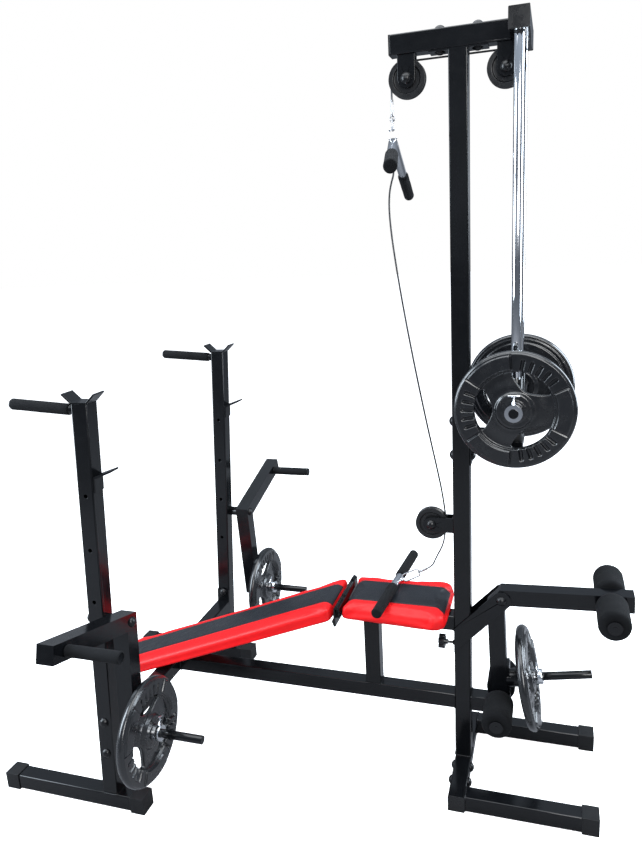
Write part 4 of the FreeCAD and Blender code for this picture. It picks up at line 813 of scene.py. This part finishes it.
def add_slack_cable():
    """From the lat bar's clip in a long bow to the back of the low pulley."""
    start = Vector((middle_of("main_cable_front").x, 0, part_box("low_cable_upper")[1].z))
    bow = [(-186, 1836), (-193, 1806), (-195, 1760), (-190, 1693), (-181.5, 1625), (-172, 1557),
           (-161.5, 1489), (-150.3, 1421), (-138.6, 1353), (-126.4, 1285), (-113.7, 1217), (-100.6, 1149),
           (-87, 1081), (-73, 1013), (-61.5, 953), (-54.2, 905)]
    route = [start, start - Vector((0, 0, 0.018))] + [Vector((x, 0, z)) / 1000 for x, z in bow]
    route += [on_pulley(6), on_pulley(-2, 0.0439), on_pulley(-10)]
    path = on_spline("slack_route", route)
    piece = add_cable("slack_cable", path, CABLE, "low_cable_upper")
    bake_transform(piece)


def add_tail_cable():
    """From the low pulley down and forward to the row bar's clip."""
    row_end = Vector((-0.11941, 0.04883, 0.66369))
    tail = [on_pulley(-10), Vector((-0.0524, 0, 0.8108)), Vector((-0.0575, 0.008, 0.779)),
            Vector((-0.0673, 0.018, 0.7513)), Vector((-0.079, 0.029, 0.727)), Vector((-0.090, 0.040, 0.702)),
            Vector((-0.10170, 0.05027, 0.67286)), row_end]
    path = on_spline("tail_route", tail)
    piece = add_cable("tail_cable", path, GREY_CABLE, "low_cable_lower")
    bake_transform(piece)


def add_taut_cable(name, node):
    """A straight run from an upper pulley down to the body that it pulls."""
    low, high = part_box(node)
    middle = (low + high) / 2
    ends = [Vector((middle.x, 0, high.z)), Vector((middle.x, 0, low.z))]
    path = [ends[0].lerp(ends[1], k / 24) for k in range(25)]
    piece = add_cable(name, path, GREY_CABLE, node)
    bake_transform(piece)


# ---------------------------------------------------------------- welds and edge bevels

BEAD_RADIUS, BEAD_IN = 0.0022, 0.001


def square_path(centre, turn, half=0.0255, corner=0.004, steps=22):
    """Points round a square tube, in the plane of the turned X and Y."""
    path = []
    for quarter in range(4):
        for step in range(steps):
            share = -1 + 2 * step / steps
            spot = Vector((half, share * (half - corner), 0))
            spot.rotate(Matrix.Rotation(math.radians(90 * quarter), 3, "Z"))
            path.append(Vector(centre) + turn.to_3x3() @ spot)
    return path


def add_welds():
    """Weld beads where tubes meet."""
    beam = middle_of("main_beam")
    seat = middle_of("seat_support_post")
    low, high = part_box("seat_support_post")
    level, upright = Matrix.Identity(4), rotation(90, "Y")
    spots = [((seat.x, 0, low.z + BEAD_IN), level), ((seat.x, 0, high.z - BEAD_IN), level),
             ((0, 0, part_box("tower_post")[0].z + BEAD_IN), level),
             ((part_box("main_beam")[1].x - BEAD_IN, 0, beam.z), upright),
             ((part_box("main_beam")[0].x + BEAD_IN, 0, beam.z), upright),
             ((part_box("seat_rail")[1].x - BEAD_IN, 0, 0.522), upright),
             ((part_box("leg_arm_stop")[0].x + BEAD_IN, 0, beam.z), upright)]
    for side in (1, -1):
        spots.append(((0.026, side * 0.184, 0.028), upright))
        spots.append(((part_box("rack_post_left")[0].x + 0.027, side * 0.430, 0.0535), level))
    for index, (centre, turn) in enumerate(spots):
        mesh = tube("weld", square_path(centre, turn), BEAD_RADIUS, sides=8, closed=True, ripple=0.25)
        add_piece("weld_%02d" % index, mesh, "frame", PAINT)


def soften_edges():
    """A fine bevel that catches the light on every shown CAD edge."""
    for node in NODES.values():
        if node.hide_render:
            continue
        weld = node.modifiers.new("join", "WELD")
        weld.merge_threshold = 0.00001
        bevel = node.modifiers.new("edge", "BEVEL")
        bevel.width = 0.0007
        bevel.segments = 2
        bevel.limit_method = "ANGLE"
        bevel.angle_limit = math.radians(35)
        bevel.use_clamp_overlap = True
        bevel.harden_normals = False


SCENE.view_settings.view_transform = "Standard"
add_camera()
add_stage()

for part in frame["record"]["subparts"]:
    shown = NODES[part["node"]]
    shown.data.materials.clear()
    finish = STEEL if part["node"] in BRIGHT_WIRE else FINISH[part["material_slot"]]
    shown.data.materials.append(finish)

add_slack_cable()
add_tail_cable()
add_taut_cable("lat_cable", "main_cable_front")
add_taut_cable("carriage_cable", "main_cable_rear")
add_seat()
add_backrest()
add_grips()
add_nuts()
add_plates()
add_welds()
soften_edges()
